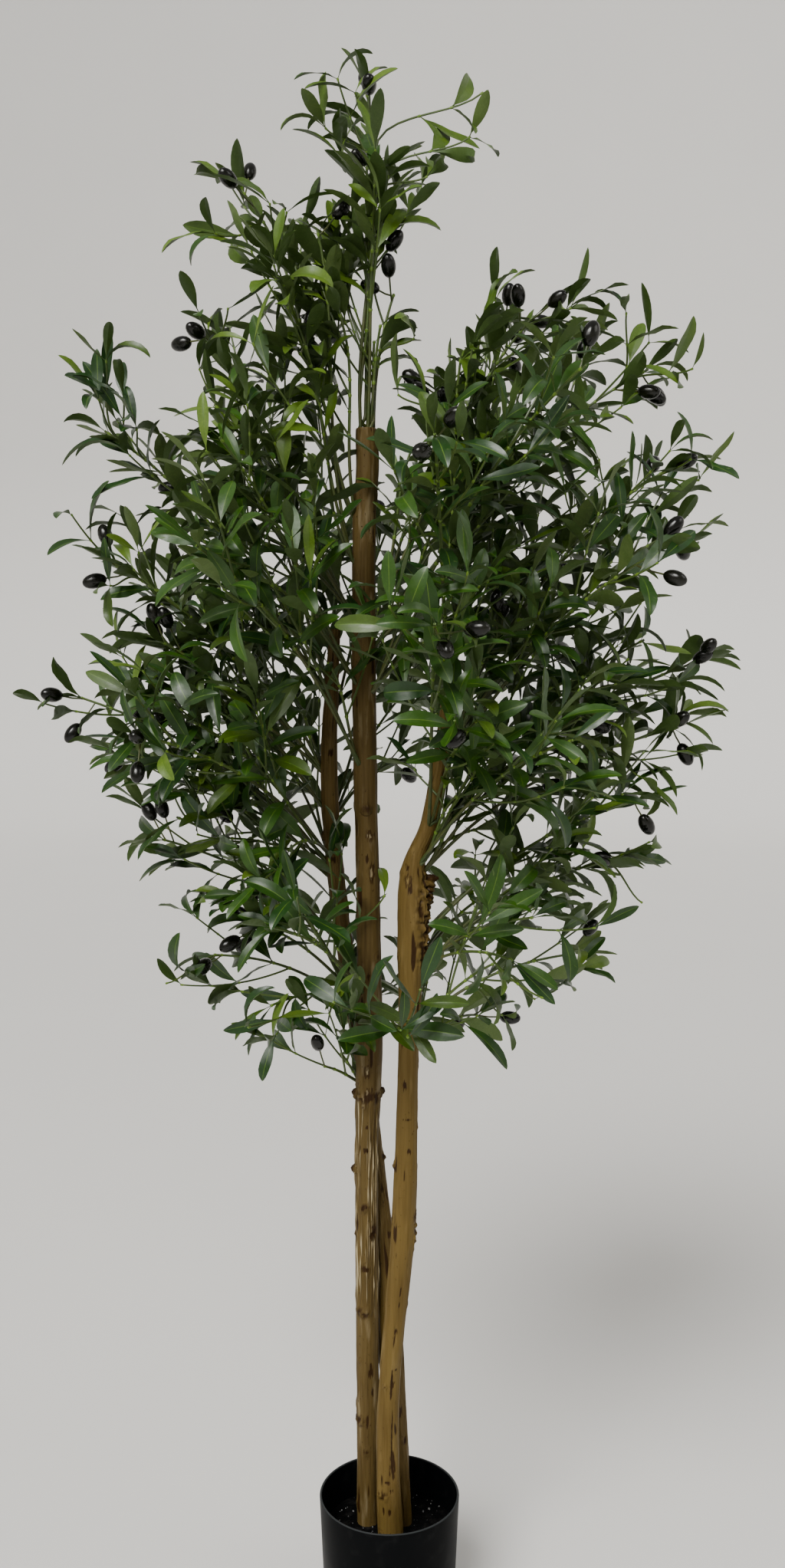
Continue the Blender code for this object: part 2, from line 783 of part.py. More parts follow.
def grow_olives(sprays, space):
    """One olive on a stalk near the end of each outline spray."""
    for owner, spray in enumerate(sprays):
        spray["olives"] = []
        if not spray["name"].startswith(FRUITING):
            continue
        root, heading = on_course(spray["course"], FRUIT_ALONG)
        for _ in range(TURNS_TRIED):
            roll = spray["draw"].uniform(0.0, math.tau)
            towards = tilted(heading, aside_from(heading, roll), STALK_SPREAD)
            stalk_end = root + towards * STALK_LENGTH
            end = stalk_end + towards * OLIVE_LENGTH
            if space.free(owner, stalk_end, end, OLIVE_RADIUS):
                spray["olives"].append((root, stalk_end, towards))
                space.add(owner, stalk_end, end, OLIVE_RADIUS)
                break


# ---- The sprays' solids ----

def seat_on_pole(course, tree):
    """The stem's first ring: its centre just clear of the pole and the pole's face direction."""
    launch = course[1] - course[0]
    if abs(launch.normalized().z) > 0.97:
        aim = -UP
        source = course[0] + UP * 0.01
    else:
        aim = Vector((-launch.x, -launch.y, 0.0)).normalized()
        source = course[0] - aim * 0.01
    hit, normal, _, _ = tree.ray_cast(source, aim)
    return hit + normal * GAP, normal


def make_spray(spray, trees, collection, material):
    """One solid from a spray's stem, twigs, leaves and olives."""
    course = spray["course"]
    seat, normal = seat_on_pole(course, trees[spray["pole"]])
    rings = [(seat, normal, STEM_RADII[0])]
    bends = spray["bends"]
    for number in range(1, len(bends)):
        heading = (bends[min(number + 1, len(bends) - 1)] - bends[number - 1]).normalized()
        share = number / (len(bends) - 1)
        rings.append((bends[number], heading, STEM_RADII[0] + (STEM_RADII[1] - STEM_RADII[0]) * share))
    thing = new_object(spray["name"], tube(rings, 3), collection, material)
    pieces = new_collection(f"{spray['name']}_pieces")
    for root, end in spray["twigs"]:
        heading = (end - root).normalized()
        new_object("twig", tube([(root, heading, TWIG_RADII[0]), (end, heading, TWIG_RADII[1])], 3), pieces)
    for root, heading, face, length in spray["leaves"]:
        sunk = root - heading * ROOT_SUNK
        width = LEAF_WIDTH * length / LEAF_LENGTH
        new_object("leaf", leaf(sunk, heading, face, length, width), pieces)
    for root, stalk_end, heading in spray["olives"]:
        deep = stalk_end + heading * STALK_SUNK
        ends = [(root, heading, STALK_RADIUS), (deep, heading, STALK_RADIUS)]
        new_object("stalk", tube(ends, 3), pieces)
        new_object("olive", olive(stalk_end, heading), pieces)
    fuse(thing, pieces)


def make_sprays(collection):
    """Every spray of the crown."""
    trees = {}
    for pole in POLES:
        trees[pole] = BVHTree.FromObject(bpy.data.objects[pole], bpy.context.evaluated_depsgraph_get())
    sprays = place_stems()
    space = Space()
    for owner, spray in enumerate(sprays):
        for start, end in zip(spray["bends"], spray["bends"][1:]):
            space.add(owner, start, end, STEM_RADII[0])
    grow_twigs(sprays, space)
    grow_olives(sprays, space)
    grow_leaves(sprays, space)
    greens = [new_material(f"leaf_green_{n + 1}", colour, 0.45) for n, colour in enumerate(GREENS)]
    for number, spray in enumerate(sprays):
        make_spray(spray, trees, collection, greens[number % len(greens)])


clear_scene()
tree_parts = new_collection(OBJECT_NAME)
make_pot(tree_parts)
make_filler(tree_parts)
for pole_name in POLES:
    make_pole(pole_name, tree_parts)
make_sprays(tree_parts)
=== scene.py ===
"""The looks of an artificial olive tree in its pot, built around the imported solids.

Every solid is replaced by a finer piece that stands where it stands: the pot, the mortar in
it, three timber poles, and sprays of stems, twigs, leaves and olives. The sprays grow by the
solids' own rule, from the same holes to the same tips, and go on to finer twigs and leaves.

Metres, +Z up. The origin is the centre of the pot's flat underside, and the front is -Y.
"""

import json
import math
import random

import bmesh
import bpy
import numpy as np
from mathutils import Euler, Matrix, Vector, noise
from mathutils.geometry import intersect_point_line

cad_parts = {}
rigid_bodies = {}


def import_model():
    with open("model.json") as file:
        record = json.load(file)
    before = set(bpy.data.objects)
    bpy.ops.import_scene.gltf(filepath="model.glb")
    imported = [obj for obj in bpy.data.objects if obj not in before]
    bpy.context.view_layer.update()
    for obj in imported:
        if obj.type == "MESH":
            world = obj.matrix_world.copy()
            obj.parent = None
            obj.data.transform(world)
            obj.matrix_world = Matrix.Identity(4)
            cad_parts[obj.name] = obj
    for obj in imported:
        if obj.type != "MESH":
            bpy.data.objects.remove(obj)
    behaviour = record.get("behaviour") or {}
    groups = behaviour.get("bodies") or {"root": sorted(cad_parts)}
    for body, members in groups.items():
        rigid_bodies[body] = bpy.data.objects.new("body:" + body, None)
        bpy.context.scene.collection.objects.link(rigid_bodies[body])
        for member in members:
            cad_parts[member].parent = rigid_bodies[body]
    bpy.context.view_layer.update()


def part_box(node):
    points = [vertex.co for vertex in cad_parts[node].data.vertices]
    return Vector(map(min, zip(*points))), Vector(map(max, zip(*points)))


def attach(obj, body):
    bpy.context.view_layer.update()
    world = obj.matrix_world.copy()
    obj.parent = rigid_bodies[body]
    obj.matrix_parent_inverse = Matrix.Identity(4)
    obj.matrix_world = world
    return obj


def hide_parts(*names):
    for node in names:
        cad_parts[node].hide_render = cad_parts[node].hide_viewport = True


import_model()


# ---- Pot ----
# A thin tub of matte black plastic, moulded in one piece with a plain rounded rim. The
# draft of its mould makes it wider at the rim, and a low foot ring runs round its underside.

GAP = 0.0003
UP = Vector((0.0, 0.0, 1.0))
POT_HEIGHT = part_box("pot")[1].z
POT_RIM_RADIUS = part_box("pot")[1].x
POT_BASE_RADIUS = 0.083
POT_WALL = 0.003
POT_FLOOR = 0.004
POT_STEPS = 160
FOOT_ROUND = 0.0022
FOOT_RING = 0.005
FOOT_RECESS = 0.0012
ROUND_STEPS = 5
POT_SHINE = 0.05
# How far down from the rim's top its painted grey highlight reaches.
RIM_PAINTED_HIGHLIGHT = 0.0014
# The round mark that the mould's gate leaves in the middle of the underside.
GATE_RADIUS = 0.0050
GATE_LEVEL = 0.00048


def plastic_finish(name, colour, roughness, shine=0.5):
    """A Principled finish of one colour, roughness and shine, ready for a pattern."""
    finish = bpy.data.materials.new(name)
    finish.use_nodes = True
    shader = finish.node_tree.nodes["Principled BSDF"]
    shader.inputs["Base Color"].default_value = (*colour, 1.0)
    shader.inputs["Roughness"].default_value = roughness
    shader.inputs["Specular IOR Level"].default_value = shine
    return finish


def mottle(finish, scale, detail=4.0, stretch=(1.0, 1.0, 1.0), centre=(0.0, 0.0, 0.0)):
    """A cloudy pattern from 0 to 1 that stays where it is on the piece."""
    nodes, links = finish.node_tree.nodes, finish.node_tree.links
    place = nodes.new("ShaderNodeTexCoord")
    turn = nodes.new("ShaderNodeMapping")
    turn.inputs["Location"].default_value = centre
    turn.inputs["Scale"].default_value = stretch
    cloud = nodes.new("ShaderNodeTexNoise")
    cloud.inputs["Scale"].default_value = scale
    cloud.inputs["Detail"].default_value = detail
    links.new(place.outputs["Object"], turn.inputs["Vector"])
    links.new(turn.outputs["Vector"], cloud.inputs["Vector"])
    return cloud.outputs["Fac"]


def ranged(finish, source, low, high, to_low=0.0, to_high=1.0):
    """A pattern carried from one range to another, and held at its ends."""
    span = finish.node_tree.nodes.new("ShaderNodeMapRange")
    span.inputs["From Min"].default_value = low
    span.inputs["From Max"].default_value = high
    span.inputs["To Min"].default_value = to_low
    span.inputs["To Max"].default_value = to_high
    finish.node_tree.links.new(source, span.inputs["Value"])
    return span.outputs["Result"]


def blended(finish, share, under, over):
    """One colour laid over another by a share. Either may be a colour or another blend."""
    mix = finish.node_tree.nodes.new("ShaderNodeMix")
    mix.data_type = "RGBA"
    finish.node_tree.links.new(share, mix.inputs["Factor"])
    for socket, colour in ((mix.inputs[6], under), (mix.inputs[7], over)):
        if isinstance(colour, tuple):
            socket.default_value = (*colour, 1.0)
        else:
            finish.node_tree.links.new(colour, socket)
    return mix.outputs[2]


def colour_by(finish, colour):
    """Lead a colour to the finish."""
    shader = finish.node_tree.nodes["Principled BSDF"]
    finish.node_tree.links.new(colour, shader.inputs["Base Color"])


def gloss_by(finish, source, low, high):
    """Vary the roughness between two values by a pattern."""
    shader = finish.node_tree.nodes["Principled BSDF"]
    rough = ranged(finish, source, 0.35, 0.65, low, high)
    finish.node_tree.links.new(rough, shader.inputs["Roughness"])


def relief_by(finish, source, depth, strength=1.0):
    """Raise the surface by a pattern, to a depth in metres."""
    nodes, links = finish.node_tree.nodes, finish.node_tree.links
    bump = nodes.new("ShaderNodeBump")
    bump.inputs["Distance"].default_value = depth
    bump.inputs["Strength"].default_value = strength
    links.new(source, bump.inputs["Height"])
    links.new(bump.outputs["Normal"], nodes["Principled BSDF"].inputs["Normal"])


def piece_of(name, shape, finishes, nodes=(), sharp=35.0):
    """A finished piece from a bmesh, at the origin, riding with the tree."""
    mesh = bpy.data.meshes.new(name)
    shape.to_mesh(mesh)
    shape.free()
    return piece_from(name, mesh, finishes, nodes, sharp)


def piece_from(name, mesh, finishes, nodes=(), sharp=35.0):
    """A finished piece from a mesh: its finishes, its smooth shading and its place on the tree."""
    for finish in finishes:
        mesh.materials.append(finish)
    mesh.shade_smooth()
    mesh.set_sharp_from_angle(angle=math.radians(sharp))
    piece = bpy.data.objects.new(name, mesh)
    bpy.context.scene.collection.objects.link(piece)
    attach(piece, "root")
    if nodes:
        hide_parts(*nodes)
    return piece


def turned(profile, steps):
    """A shape turned about Z from a profile of radius and height."""
    shape = bmesh.new()
    corners = [shape.verts.new((radius, 0.0, height)) for radius, height in profile]
    edges = [shape.edges.new(pair) for pair in zip(corners, corners[1:])]
    bmesh.ops.spin(
        shape, geom=corners + edges, axis=UP, cent=(0.0, 0.0, 0.0),
        steps=steps, angle=math.tau, use_merge=True,
    )
    bmesh.ops.remove_doubles(shape, verts=shape.verts, dist=0.00001)
    bmesh.ops.recalc_face_normals(shape, faces=shape.faces)
    return shape


def arc(centre, radius, start, end, count):
    """Points along an arc of a profile, with its angles in degrees."""
    points = []
    for step in range(count + 1):
        angle = math.radians(start + (end - start) * step / count)
        points.append((centre[0] + radius * math.cos(angle), centre[1] + radius * math.sin(angle)))
    return points


def pot_radius(height):
    """The pot's outer radius at a height."""
    return POT_BASE_RADIUS + (POT_RIM_RADIUS - POT_BASE_RADIUS) * height / POT_HEIGHT


def pot_plastic():
    """Matte black plastic: fine moulded grain, dull streaks of handling, and a painted highlight: a grey
    band along the top of the rim.
    """
    finish = plastic_finish("pot_black_plastic", (0.0020, 0.0024, 0.0028), 0.42, POT_SHINE)
    streaks = mottle(finish, 14.0, 6.0, (1.0, 1.0, 0.35))
    gloss_by(finish, streaks, 0.38, 0.55)
    dust = ranged(finish, mottle(finish, 55.0, 8.0), 0.55, 0.80)
    colour = blended(finish, dust, (0.0018, 0.0022, 0.0026), (0.0075, 0.0080, 0.0080))
    place = finish.node_tree.nodes.new("ShaderNodeTexCoord")
    level = finish.node_tree.nodes.new("ShaderNodeSeparateXYZ")
    finish.node_tree.links.new(place.outputs["Object"], level.inputs["Vector"])
    # Painted highlight: the top of the rim turns grey, standing in for light on its rounded lip.
    pale_wear_and_highlight = ranged(finish, level.outputs["Z"], POT_HEIGHT - RIM_PAINTED_HIGHLIGHT, POT_HEIGHT - RIM_PAINTED_HIGHLIGHT / 3)
    colour_by(finish, blended(finish, pale_wear_and_highlight, colour, (0.028, 0.031, 0.032)))
    relief_by(finish, mottle(finish, 1100.0, 2.0), 0.00006, 0.5)
    return finish


def make_pot():
    """The pot's shell, from its rim down the outside, under the foot and up the inside."""
    half = POT_WALL / 2
    middle = (POT_RIM_RADIUS - half, POT_HEIGHT - half)
    rim = arc(middle, half, 90.0, 0.0, ROUND_STEPS)
    foot = arc((POT_BASE_RADIUS - FOOT_ROUND, FOOT_ROUND), FOOT_ROUND, 0.0, -90.0, ROUND_STEPS)
    ring = POT_BASE_RADIUS - FOOT_ROUND - FOOT_RING
    under = [
        (ring, 0.0),
        (ring - FOOT_RECESS, FOOT_RECESS),
        (GATE_RADIUS + FOOT_RECESS, FOOT_RECESS),
        (GATE_RADIUS, GATE_LEVEL),
        (0.0, GATE_LEVEL),
    ]
    inside = [
        (0.0, POT_FLOOR),
        (pot_radius(POT_FLOOR) - POT_WALL, POT_FLOOR),
    ]
    lip = arc(middle, half, 180.0, 90.0, ROUND_STEPS)
    shape = turned(rim + foot + under + inside + lip[:-1] + rim[:1], POT_STEPS)
    return piece_of("pot_shell", shape, [pot_plastic()], ["pot"])


make_pot()


# ---- Mortar in the pot ----
# Black-dyed mortar, poured round the poles' feet and left as it settled: lumpy, drawn up a
# little at each pole, with dark and pale grit lying in it.

FILL_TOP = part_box("pot_filler")[1].z
FILL_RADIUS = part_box("pot_filler")[1].x
FILL_STEPS = 120
FILL_RINGS = 42
FILL_LUMPS = 60.0
FILL_DROP = 0.00147
FILL_PITS = 260.0
PIT_DEPTH = 0.0009
FILL_MOUND = 0.0030
MOUND_REACH = 0.005
GRIT_SEED = 11
GRIT_COUNT = 150
GRIT_SIZES = (0.0004, 0.0012)
GRIT_MARGIN = 0.003
GRIT_PROUD = 0.3
# Where each pole stands in the mortar: x, y and radius.
FEET = {
    "trunk_tall": (-0.028, 0.011, 0.0140),
    "trunk_right": (0.002, -0.030, 0.0162),
    "trunk_left": (0.018, 0.008, 0.0112),
}


def fill_height(x, y):
    """The mortar's surface: lumps and pits below its mean top, drawn up at the poles' feet."""
    lumps = noise.fractal(Vector((x * FILL_LUMPS, y * FILL_LUMPS, 3.0)), 0.9, 2.1, 4) * 0.5
    pits = noise.turbulence(Vector((x * FILL_PITS, y * FILL_PITS, 9.0)), 3, False)
    height = FILL_TOP - FILL_DROP * (1.0 - lumps) - pits * PIT_DEPTH
    for foot_x, foot_y, radius in FEET.values():
        away = max(math.hypot(x - foot_x, y - foot_y) - radius, 0.0)
        height += FILL_MOUND * math.exp(-away / MOUND_REACH)
    return height


def filler_mortar():
    """Near-black mortar with a dry grain and a few greyer patches."""
    finish = plastic_finish("filler_black_mortar", (0.002, 0.002, 0.002), 0.8, POT_SHINE)
    patches = ranged(finish, mottle(finish, 90.0, 8.0), 0.52, 0.76)
    colour_by(finish, blended(finish, patches, (0.0016, 0.0016, 0.0018), (0.0095, 0.0090, 0.0085)))
    gloss_by(finish, mottle(finish, 300.0, 3.0), 0.45, 0.9)
    relief_by(finish, mottle(finish, 700.0, 5.0), 0.0006, 0.8)
    return finish


def filler_grit():
    """Stone grit, each grain darker or paler than the next."""
    finish = plastic_finish("filler_pale_grit", (0.20, 0.19, 0.17), 0.7)
    shade = ranged(finish, mottle(finish, 60.0, 1.0), 0.4, 0.6)
    colour_by(finish, blended(finish, shade, (0.030, 0.032, 0.034), (0.30, 0.30, 0.29)))
    relief_by(finish, mottle(finish, 1500.0, 2.0), 0.0001, 0.6)
    return finish


def make_filler():
    """The mortar's body, with a fine grid of rings on its top, and the grit on it."""
    rings = [FILL_RADIUS * step / FILL_RINGS for step in range(FILL_RINGS + 1)]
    low = POT_FLOOR + GAP
    profile = [(radius, FILL_TOP) for radius in rings]
    profile += [(pot_radius(low) - POT_WALL - GAP, low), (0.0, low)]
    shape = turned(profile, FILL_STEPS)
    for corner in shape.verts:
        if corner.co.z > FILL_TOP - GAP:
            corner.co.z = fill_height(corner.co.x, corner.co.y)
    piece_of("mortar", shape, [filler_mortar()], ["pot_filler"], sharp=60.0)
    draw = random.Random(GRIT_SEED)
    grit = bmesh.new()
    for _ in range(GRIT_COUNT):
        away = (FILL_RADIUS - GRIT_MARGIN) * math.sqrt(draw.random())
        angle = draw.uniform(0.0, math.tau)
        x, y = away * math.cos(angle), away * math.sin(angle)
        size = draw.uniform(*GRIT_SIZES) * draw.choice((1.0, 1.0, 1.5))
        if any(math.hypot(x - px, y - py) < radius + size for px, py, radius in FEET.values()):
            continue
        turn = Euler([draw.uniform(0.0, math.tau) for _ in range(3)])
        squash = Vector((size, size * draw.uniform(0.5, 1.0), size * draw.uniform(0.5, 0.9)))
        place = Matrix.LocRotScale((x, y, fill_height(x, y) + size * GRIT_PROUD), turn, squash)
        bmesh.ops.create_icosphere(grit, subdivisions=1, radius=1.0, matrix=place)
    piece_of("mortar_grit", grit, [filler_grit()], sharp=10.0)


make_filler()


# ---- Poles ----
# Three natural timber poles, dried with their skin on and coated. Side shoots are sawn off
# close, and a hole is drilled for every spray. They are cast into the mortar at their feet.

# Height, x, y and radius at each pole's foot, at each bend or swelling, and at its top.
POLES = {
    "trunk_tall": (
        (FILL_TOP + GAP, *FEET["trunk_tall"]),
        (0.332, -0.028, 0.008, 0.0148),
        (0.600, -0.029, 0.003, 0.0150),
        (0.760, -0.025, 0.001, 0.0167),
        (0.923, -0.026, 0.000, 0.0148),
        (1.120, -0.030, 0.000, 0.0149),
        (1.404, -0.0305, 0.000, 0.0145),
        (1.472, -0.0265, 0.000, 0.0140),
        (1.515, -0.0280, 0.000, 0.0126),
    ),
    "trunk_right": (
        (FILL_TOP + GAP, *FEET["trunk_right"]),
        (0.240, -0.002, -0.030, 0.0147),
        (0.342, 0.001, -0.030, 0.0133),
        (0.541, 0.018, -0.030, 0.0150),
        (0.775, 0.024, -0.030, 0.0129),
        (0.935, 0.029, -0.030, 0.0188),
        (0.988, 0.030, -0.030, 0.0136),
        (1.042, 0.050, -0.030, 0.0112),
        (1.200, 0.075, -0.030, 0.0100),
    ),
    "trunk_left": (
        (FILL_TOP + GAP, *FEET["trunk_left"]),
        (0.318, 0.0034, 0.021, 0.0164),
        (0.400, -0.0014, 0.027, 0.0160),
        (0.509, -0.0085, 0.030, 0.0125),
        (0.600, -0.01866, 0.03162, 0.01104),
        (0.707, -0.032, 0.039, 0.0112),
        (0.926, -0.064, 0.041, 0.0112),
        (1.083, -0.076, 0.041, 0.0113),
        (1.208, -0.072, 0.041, 0.0086),
        (1.275, -0.068, 0.041, 0.0066),
    ),
}
# Knots and sawn side shoots: pole, height, bearing in degrees, steepness, length, radius.
SHOOTS = (
    ("trunk_tall", 0.688, 180.0, 20.0, 0.0205, 0.0060),
    ("trunk_tall", 0.690, 0.0, 20.0, 0.0215, 0.0055),
    ("trunk_tall", 0.592, 185.0, 10.0, 0.0185, 0.0055),
    ("trunk_tall", 1.050, 270.0, 15.0, 0.0180, 0.0050),
    ("trunk_right", 0.528, 0.0, 55.0, 0.0230, 0.0075),
    ("trunk_right", 0.936, 5.0, 55.0, 0.0440, 0.0110),
    ("trunk_left", 1.010, 180.0, 30.0, 0.0160, 0.0045),
)
POLE_STEP = 0.0027
POLE_STEPS = 96
SHOOT_STEPS = 24
SHOOT_RINGS = 18
SHOOT_TAPER = 0.40
COLLAR_SWELL = 0.0055
COLLAR_REACH = 0.0028
SAWN_ROUND = 0.0008
SAWN_PROUD = 0.0004
SAWN_RINGS = (0.9, 0.55, 0.0)
HOLE_RADIUS = 0.0035
HOLE_DEPTH = 0.011
HOLE_SLANT = 35.0
HOLE_STEPS = 20
HOLE_TAPER = 0.92
HOLE_LIP = 0.0006


def pole_at(pole, height):
    """Centre and radius of a pole at a height, on a smooth curve through its stations."""
    rows = np.array(POLES[pole])
    height = min(max(height, rows[0, 0]), rows[-1, 0])
    here = min(int(np.searchsorted(rows[:, 0], height, side="right")) - 1, len(rows) - 2)
    ends = rows[here:here + 2]
    span = ends[1, 0] - ends[0, 0]
    slopes = []
    for row in (here, here + 1):
        before, after = rows[max(row - 1, 0)], rows[min(row + 1, len(rows) - 1)]
        slopes.append((after - before)[1:] / (after - before)[0] * span)
    share = (height - ends[0, 0]) / span
    square, cube = share ** 2, share ** 3
    value = (
        (2 * cube - 3 * square + 1) * ends[0, 1:]
        + (cube - 2 * square + share) * slopes[0]
        + (3 * square - 2 * cube) * ends[1, 1:]
        + (cube - square) * slopes[1]
    )
    return Vector((value[0], value[1], height)), value[2]


def pole_top(pole):
    """Height of a pole's sawn top."""
    return POLES[pole][-1][0]


def direction(bearing):
    """A level unit vector: 0 degrees is right, 90 is back, 180 is left and 270 is front."""
    return Vector((math.cos(math.radians(bearing)), math.sin(math.radians(bearing)), 0.0))


def shoot_ends(pole, height, bearing, steep, length):
    """Root and tip of a shoot, on its pole's axis and outside it."""
    centre, _ = pole_at(pole, height)
    rise = math.radians(steep)
    heading = direction(bearing) * math.cos(rise) + UP * math.sin(rise)
    return centre, centre + heading * length


# ---- Plan of the sprays ----
# Each moulded spray is plugged into a hole in its pole, or in a sawn top, and reaches out to
# its place on the crown's outline. The stems leave their holes steeply and lean over.

# The crown's outline: height of a spray's outer tip and its reach from the crown's axis.
LEFT_TIPS = (
    (0.740, 0.180),
    (0.870, 0.290),
    (0.935, 0.245),
    (1.040, 0.390),
    (1.160, 0.385),
    (1.212, 0.453),
    (1.290, 0.340),
    (1.385, 0.400),
    (1.550, 0.405),
    (1.700, 0.300),
)
RIGHT_TIPS = (
    (0.760, 0.160),
    (0.885, 0.290),
    (1.010, 0.355),
    (1.085, 0.370),
    (1.170, 0.420),
    (1.255, 0.445),
    (1.425, 0.415),
    (1.500, 0.395),
    (1.620, 0.375),
    (1.710, 0.250),
)
LEFT_CROWN_TOP = ((1.850, 0.225), (1.875, 0.150), (1.980, 0.060))
RIGHT_CROWN_TOP = ((1.745, 0.170), (1.770, 0.105), (1.860, 0.130), (1.925, 0.100), (1.980, 0.030))
LEFT_OUTLINE = LEFT_TIPS + LEFT_CROWN_TOP
RIGHT_OUTLINE = RIGHT_TIPS + RIGHT_CROWN_TOP
CROWN_BOTTOM = 0.728
QUARTER_LEVELS = (0.950, 1.170, 1.380, 1.580)
QUARTER_TURNS = (4.0, -10.0, 9.0, -4.0)
MIDDLE_LEVELS = (0.790, 1.300, 1.500)
DEPTH_SHARE = 0.88

# Sprays that make the crown's top: pole, hole height, then x, y and height of the outer tip.
LEADERS = {
    "spray_top": ("trunk_tall", 1.515, -0.045, 0.000, 1.974),
    "spray_top_front": ("trunk_tall", 1.515, 0.020, -0.055, 1.930),
    "spray_top_right": ("trunk_tall", 1.515, 0.128, 0.015, 1.860),
    "spray_top_back": ("trunk_tall", 1.515, 0.000, 0.090, 1.790),
    "spray_top_left": ("trunk_tall", 1.430, -0.222, 0.020, 1.850),
    "spray_top_mid_left": ("trunk_tall", 1.375, -0.140, -0.060, 1.868),
    "spray_crown_right": ("trunk_right", 1.200, 0.100, -0.060, 1.757),
    "spray_crown_far_right": ("trunk_right", 1.200, 0.175, 0.030, 1.730),
}

# A stem's hole: how far below its tip at the bottom of the crown and how much more at the top.
HOLE_DROP = 0.02
HOLE_DROP_MORE = 0.40
HOLE_BELOW_TOP = 0.03
HOLE_ON_TOP = 0.62
HOLE_SHIFT = 0.02
TIP_SWING = 0.03

# How steeply a stem leaves its hole and how it leans at its tip, in degrees, for no rise
# and the change to all rise, with the lengths of its curve's two handles.
STEEP = (30.0, 52.0)
STEEP_FROM_TOP = 88.0
LEAN = (-18.0, 95.0)
HANDLES = (0.40, 0.33)
FIRST_SEED = 500
STEM_SAMPLES = 60
STEM_RINGS = (0.0, 0.07, 0.32, 0.66, 1.0)
STEM_STEPS = 15
STEM_CLEAR = 0.0062
LAUNCH_CLEAR = 0.0032
POLE_CLEAR = 0.0045
TIP_LEAF_LENGTH = 0.068
# A stem without a clear way is tried again. After so many tries its shift or swing is doubled.
STEM_TRIES = 200
SHIFT_DOUBLED = 8
SWING_DOUBLED = 10


def outline_reach(tips, height):
    """Reach of one side of the crown at a height."""
    heights, reaches = zip(*tips)
    return float(np.interp(height, heights, reaches))


def outline_depth(height):
    """Reach of the crown to the front and back at a height."""
    both = outline_reach(RIGHT_OUTLINE, height) + outline_reach(LEFT_OUTLINE, height)
    return DEPTH_SHARE * both / 2


def crown_tip(height, bearing):
    """The outer tip of a spray at a height and bearing."""
    along = direction(bearing)
    side = RIGHT_TIPS if along.x > 0.0 else LEFT_TIPS
    return Vector((
        along.x * outline_reach(side, height),
        along.y * outline_depth(height),
        height,
    ))


def within_crown(point, slack):
    """Whether a point is inside the crown's outline, with its reach taken times the slack."""
    if point.z < CROWN_BOTTOM or point.z > LEFT_OUTLINE[-1][0]:
        return False
    side = RIGHT_OUTLINE if point.x > 0.0 else LEFT_OUTLINE
    across = point.x / outline_reach(side, point.z)
    deep = point.y / outline_depth(point.z)
    return math.hypot(across, deep) < slack


def hole_height(height):
    """How high on its pole the stem of a spray starts, for the height of its tip."""
    lowest, highest = LEFT_TIPS[0][0], RIGHT_TIPS[-1][0]
    share = (height - lowest) / (highest - lowest)
    return height - HOLE_DROP - HOLE_DROP_MORE * share


def nearest_pole(tip, height):
    """The pole nearest to a tip among those tall enough to hold a hole at the height."""
    tall = [pole for pole in POLES if pole_top(pole) > height + HOLE_BELOW_TOP]
    return min(tall, key=lambda pole: (pole_at(pole, height)[0] - tip).xy.length)


def spray_plan():
    """Each spray's name, pole, hole height and outer tip, from the outline's named sizes."""
    plan = []
    for side, tips, bearing in (("left", LEFT_TIPS, 180.0), ("right", RIGHT_TIPS, 0.0)):
        for number, (height, reach) in enumerate(tips, 1):
            plan.append((f"spray_{side}_{number:02d}", direction(bearing) * reach + UP * height))
    corners = (("back_right", 45.0), ("back_left", 135.0), ("front_left", 225.0), ("front_right", 315.0))
    for level, (height, turn) in enumerate(zip(QUARTER_LEVELS, QUARTER_TURNS), 1):
        for corner, bearing in corners:
            plan.append((f"spray_{corner}_{level}", crown_tip(height, bearing + turn)))
    for level, height in enumerate(MIDDLE_LEVELS, 1):
        for corner, bearing in (("front", 276.0), ("back", 84.0)):
            plan.append((f"spray_{corner}_{level}", crown_tip(height, bearing)))
    placed = []
    for name, tip in plan:
        height = hole_height(tip.z)
        placed.append((name, nearest_pole(tip, height), height, tip))
    for name, (pole, height, *tip) in LEADERS.items():
        placed.append((name, pole, height, Vector(tip)))
    return placed


def curved(start, near, far, end, steps):
    """Evenly numbered points on a smooth curve from start to end, by way of its two handles."""
    course = []
    for number in range(steps + 1):
        t = number / steps
        s = 1.0 - t
        course.append(start * s ** 3 + near * 3 * s * s * t + far * 3 * s * t * t + end * t ** 3)
    return course


def stem_course(pole, height, tip):
    """Evenly numbered points on a stem that leaves its hole steeply and leans over to its tip."""
    centre, radius = pole_at(pole, height)
    out = Vector((tip.x - centre.x, tip.y - centre.y, 0.0)).normalized()
    from_top = height >= pole_top(pole)
    start = centre + out * (radius * HOLE_ON_TOP if from_top else radius + GAP)
    reach = (tip - start).xy.length
    rise = max(tip.z - start.z, 0.0)
    share = rise / (rise + reach)
    steep = math.radians(STEEP_FROM_TOP if from_top else STEEP[0] + STEEP[1] * share)
    lean = math.radians(LEAN[0] + LEAN[1] * share)
    heading = out * math.cos(lean) + UP * math.sin(lean)
    end = tip - heading * TIP_LEAF_LENGTH
    length = (end - start).length
    near = start + (out * math.cos(steep) + UP * math.sin(steep)) * length * HANDLES[0]
    far = end - heading * length * HANDLES[1]
    return curved(start, near, far, end, STEM_SAMPLES)


def on_course(course, along):
    """Point and heading at a share of a course's length."""
    steps = [(after - before).length for before, after in zip(course, course[1:])]
    left = along * sum(steps)
    here = 0
    while here < len(steps) - 1 and left > steps[here]:
        left -= steps[here]
        here += 1
    point = course[here].lerp(course[here + 1], min(left / steps[here], 1.0))
    return point, (course[here + 1] - course[here]).normalized()


def straightened(bends):
    """Points along straight runs from bend to bend, with as many on each run."""
    course = [bends[0]]
    for start, end in zip(bends, bends[1:]):
        for step in range(1, STEM_STEPS + 1):
            course.append(start.lerp(end, step / STEM_STEPS))
    return course


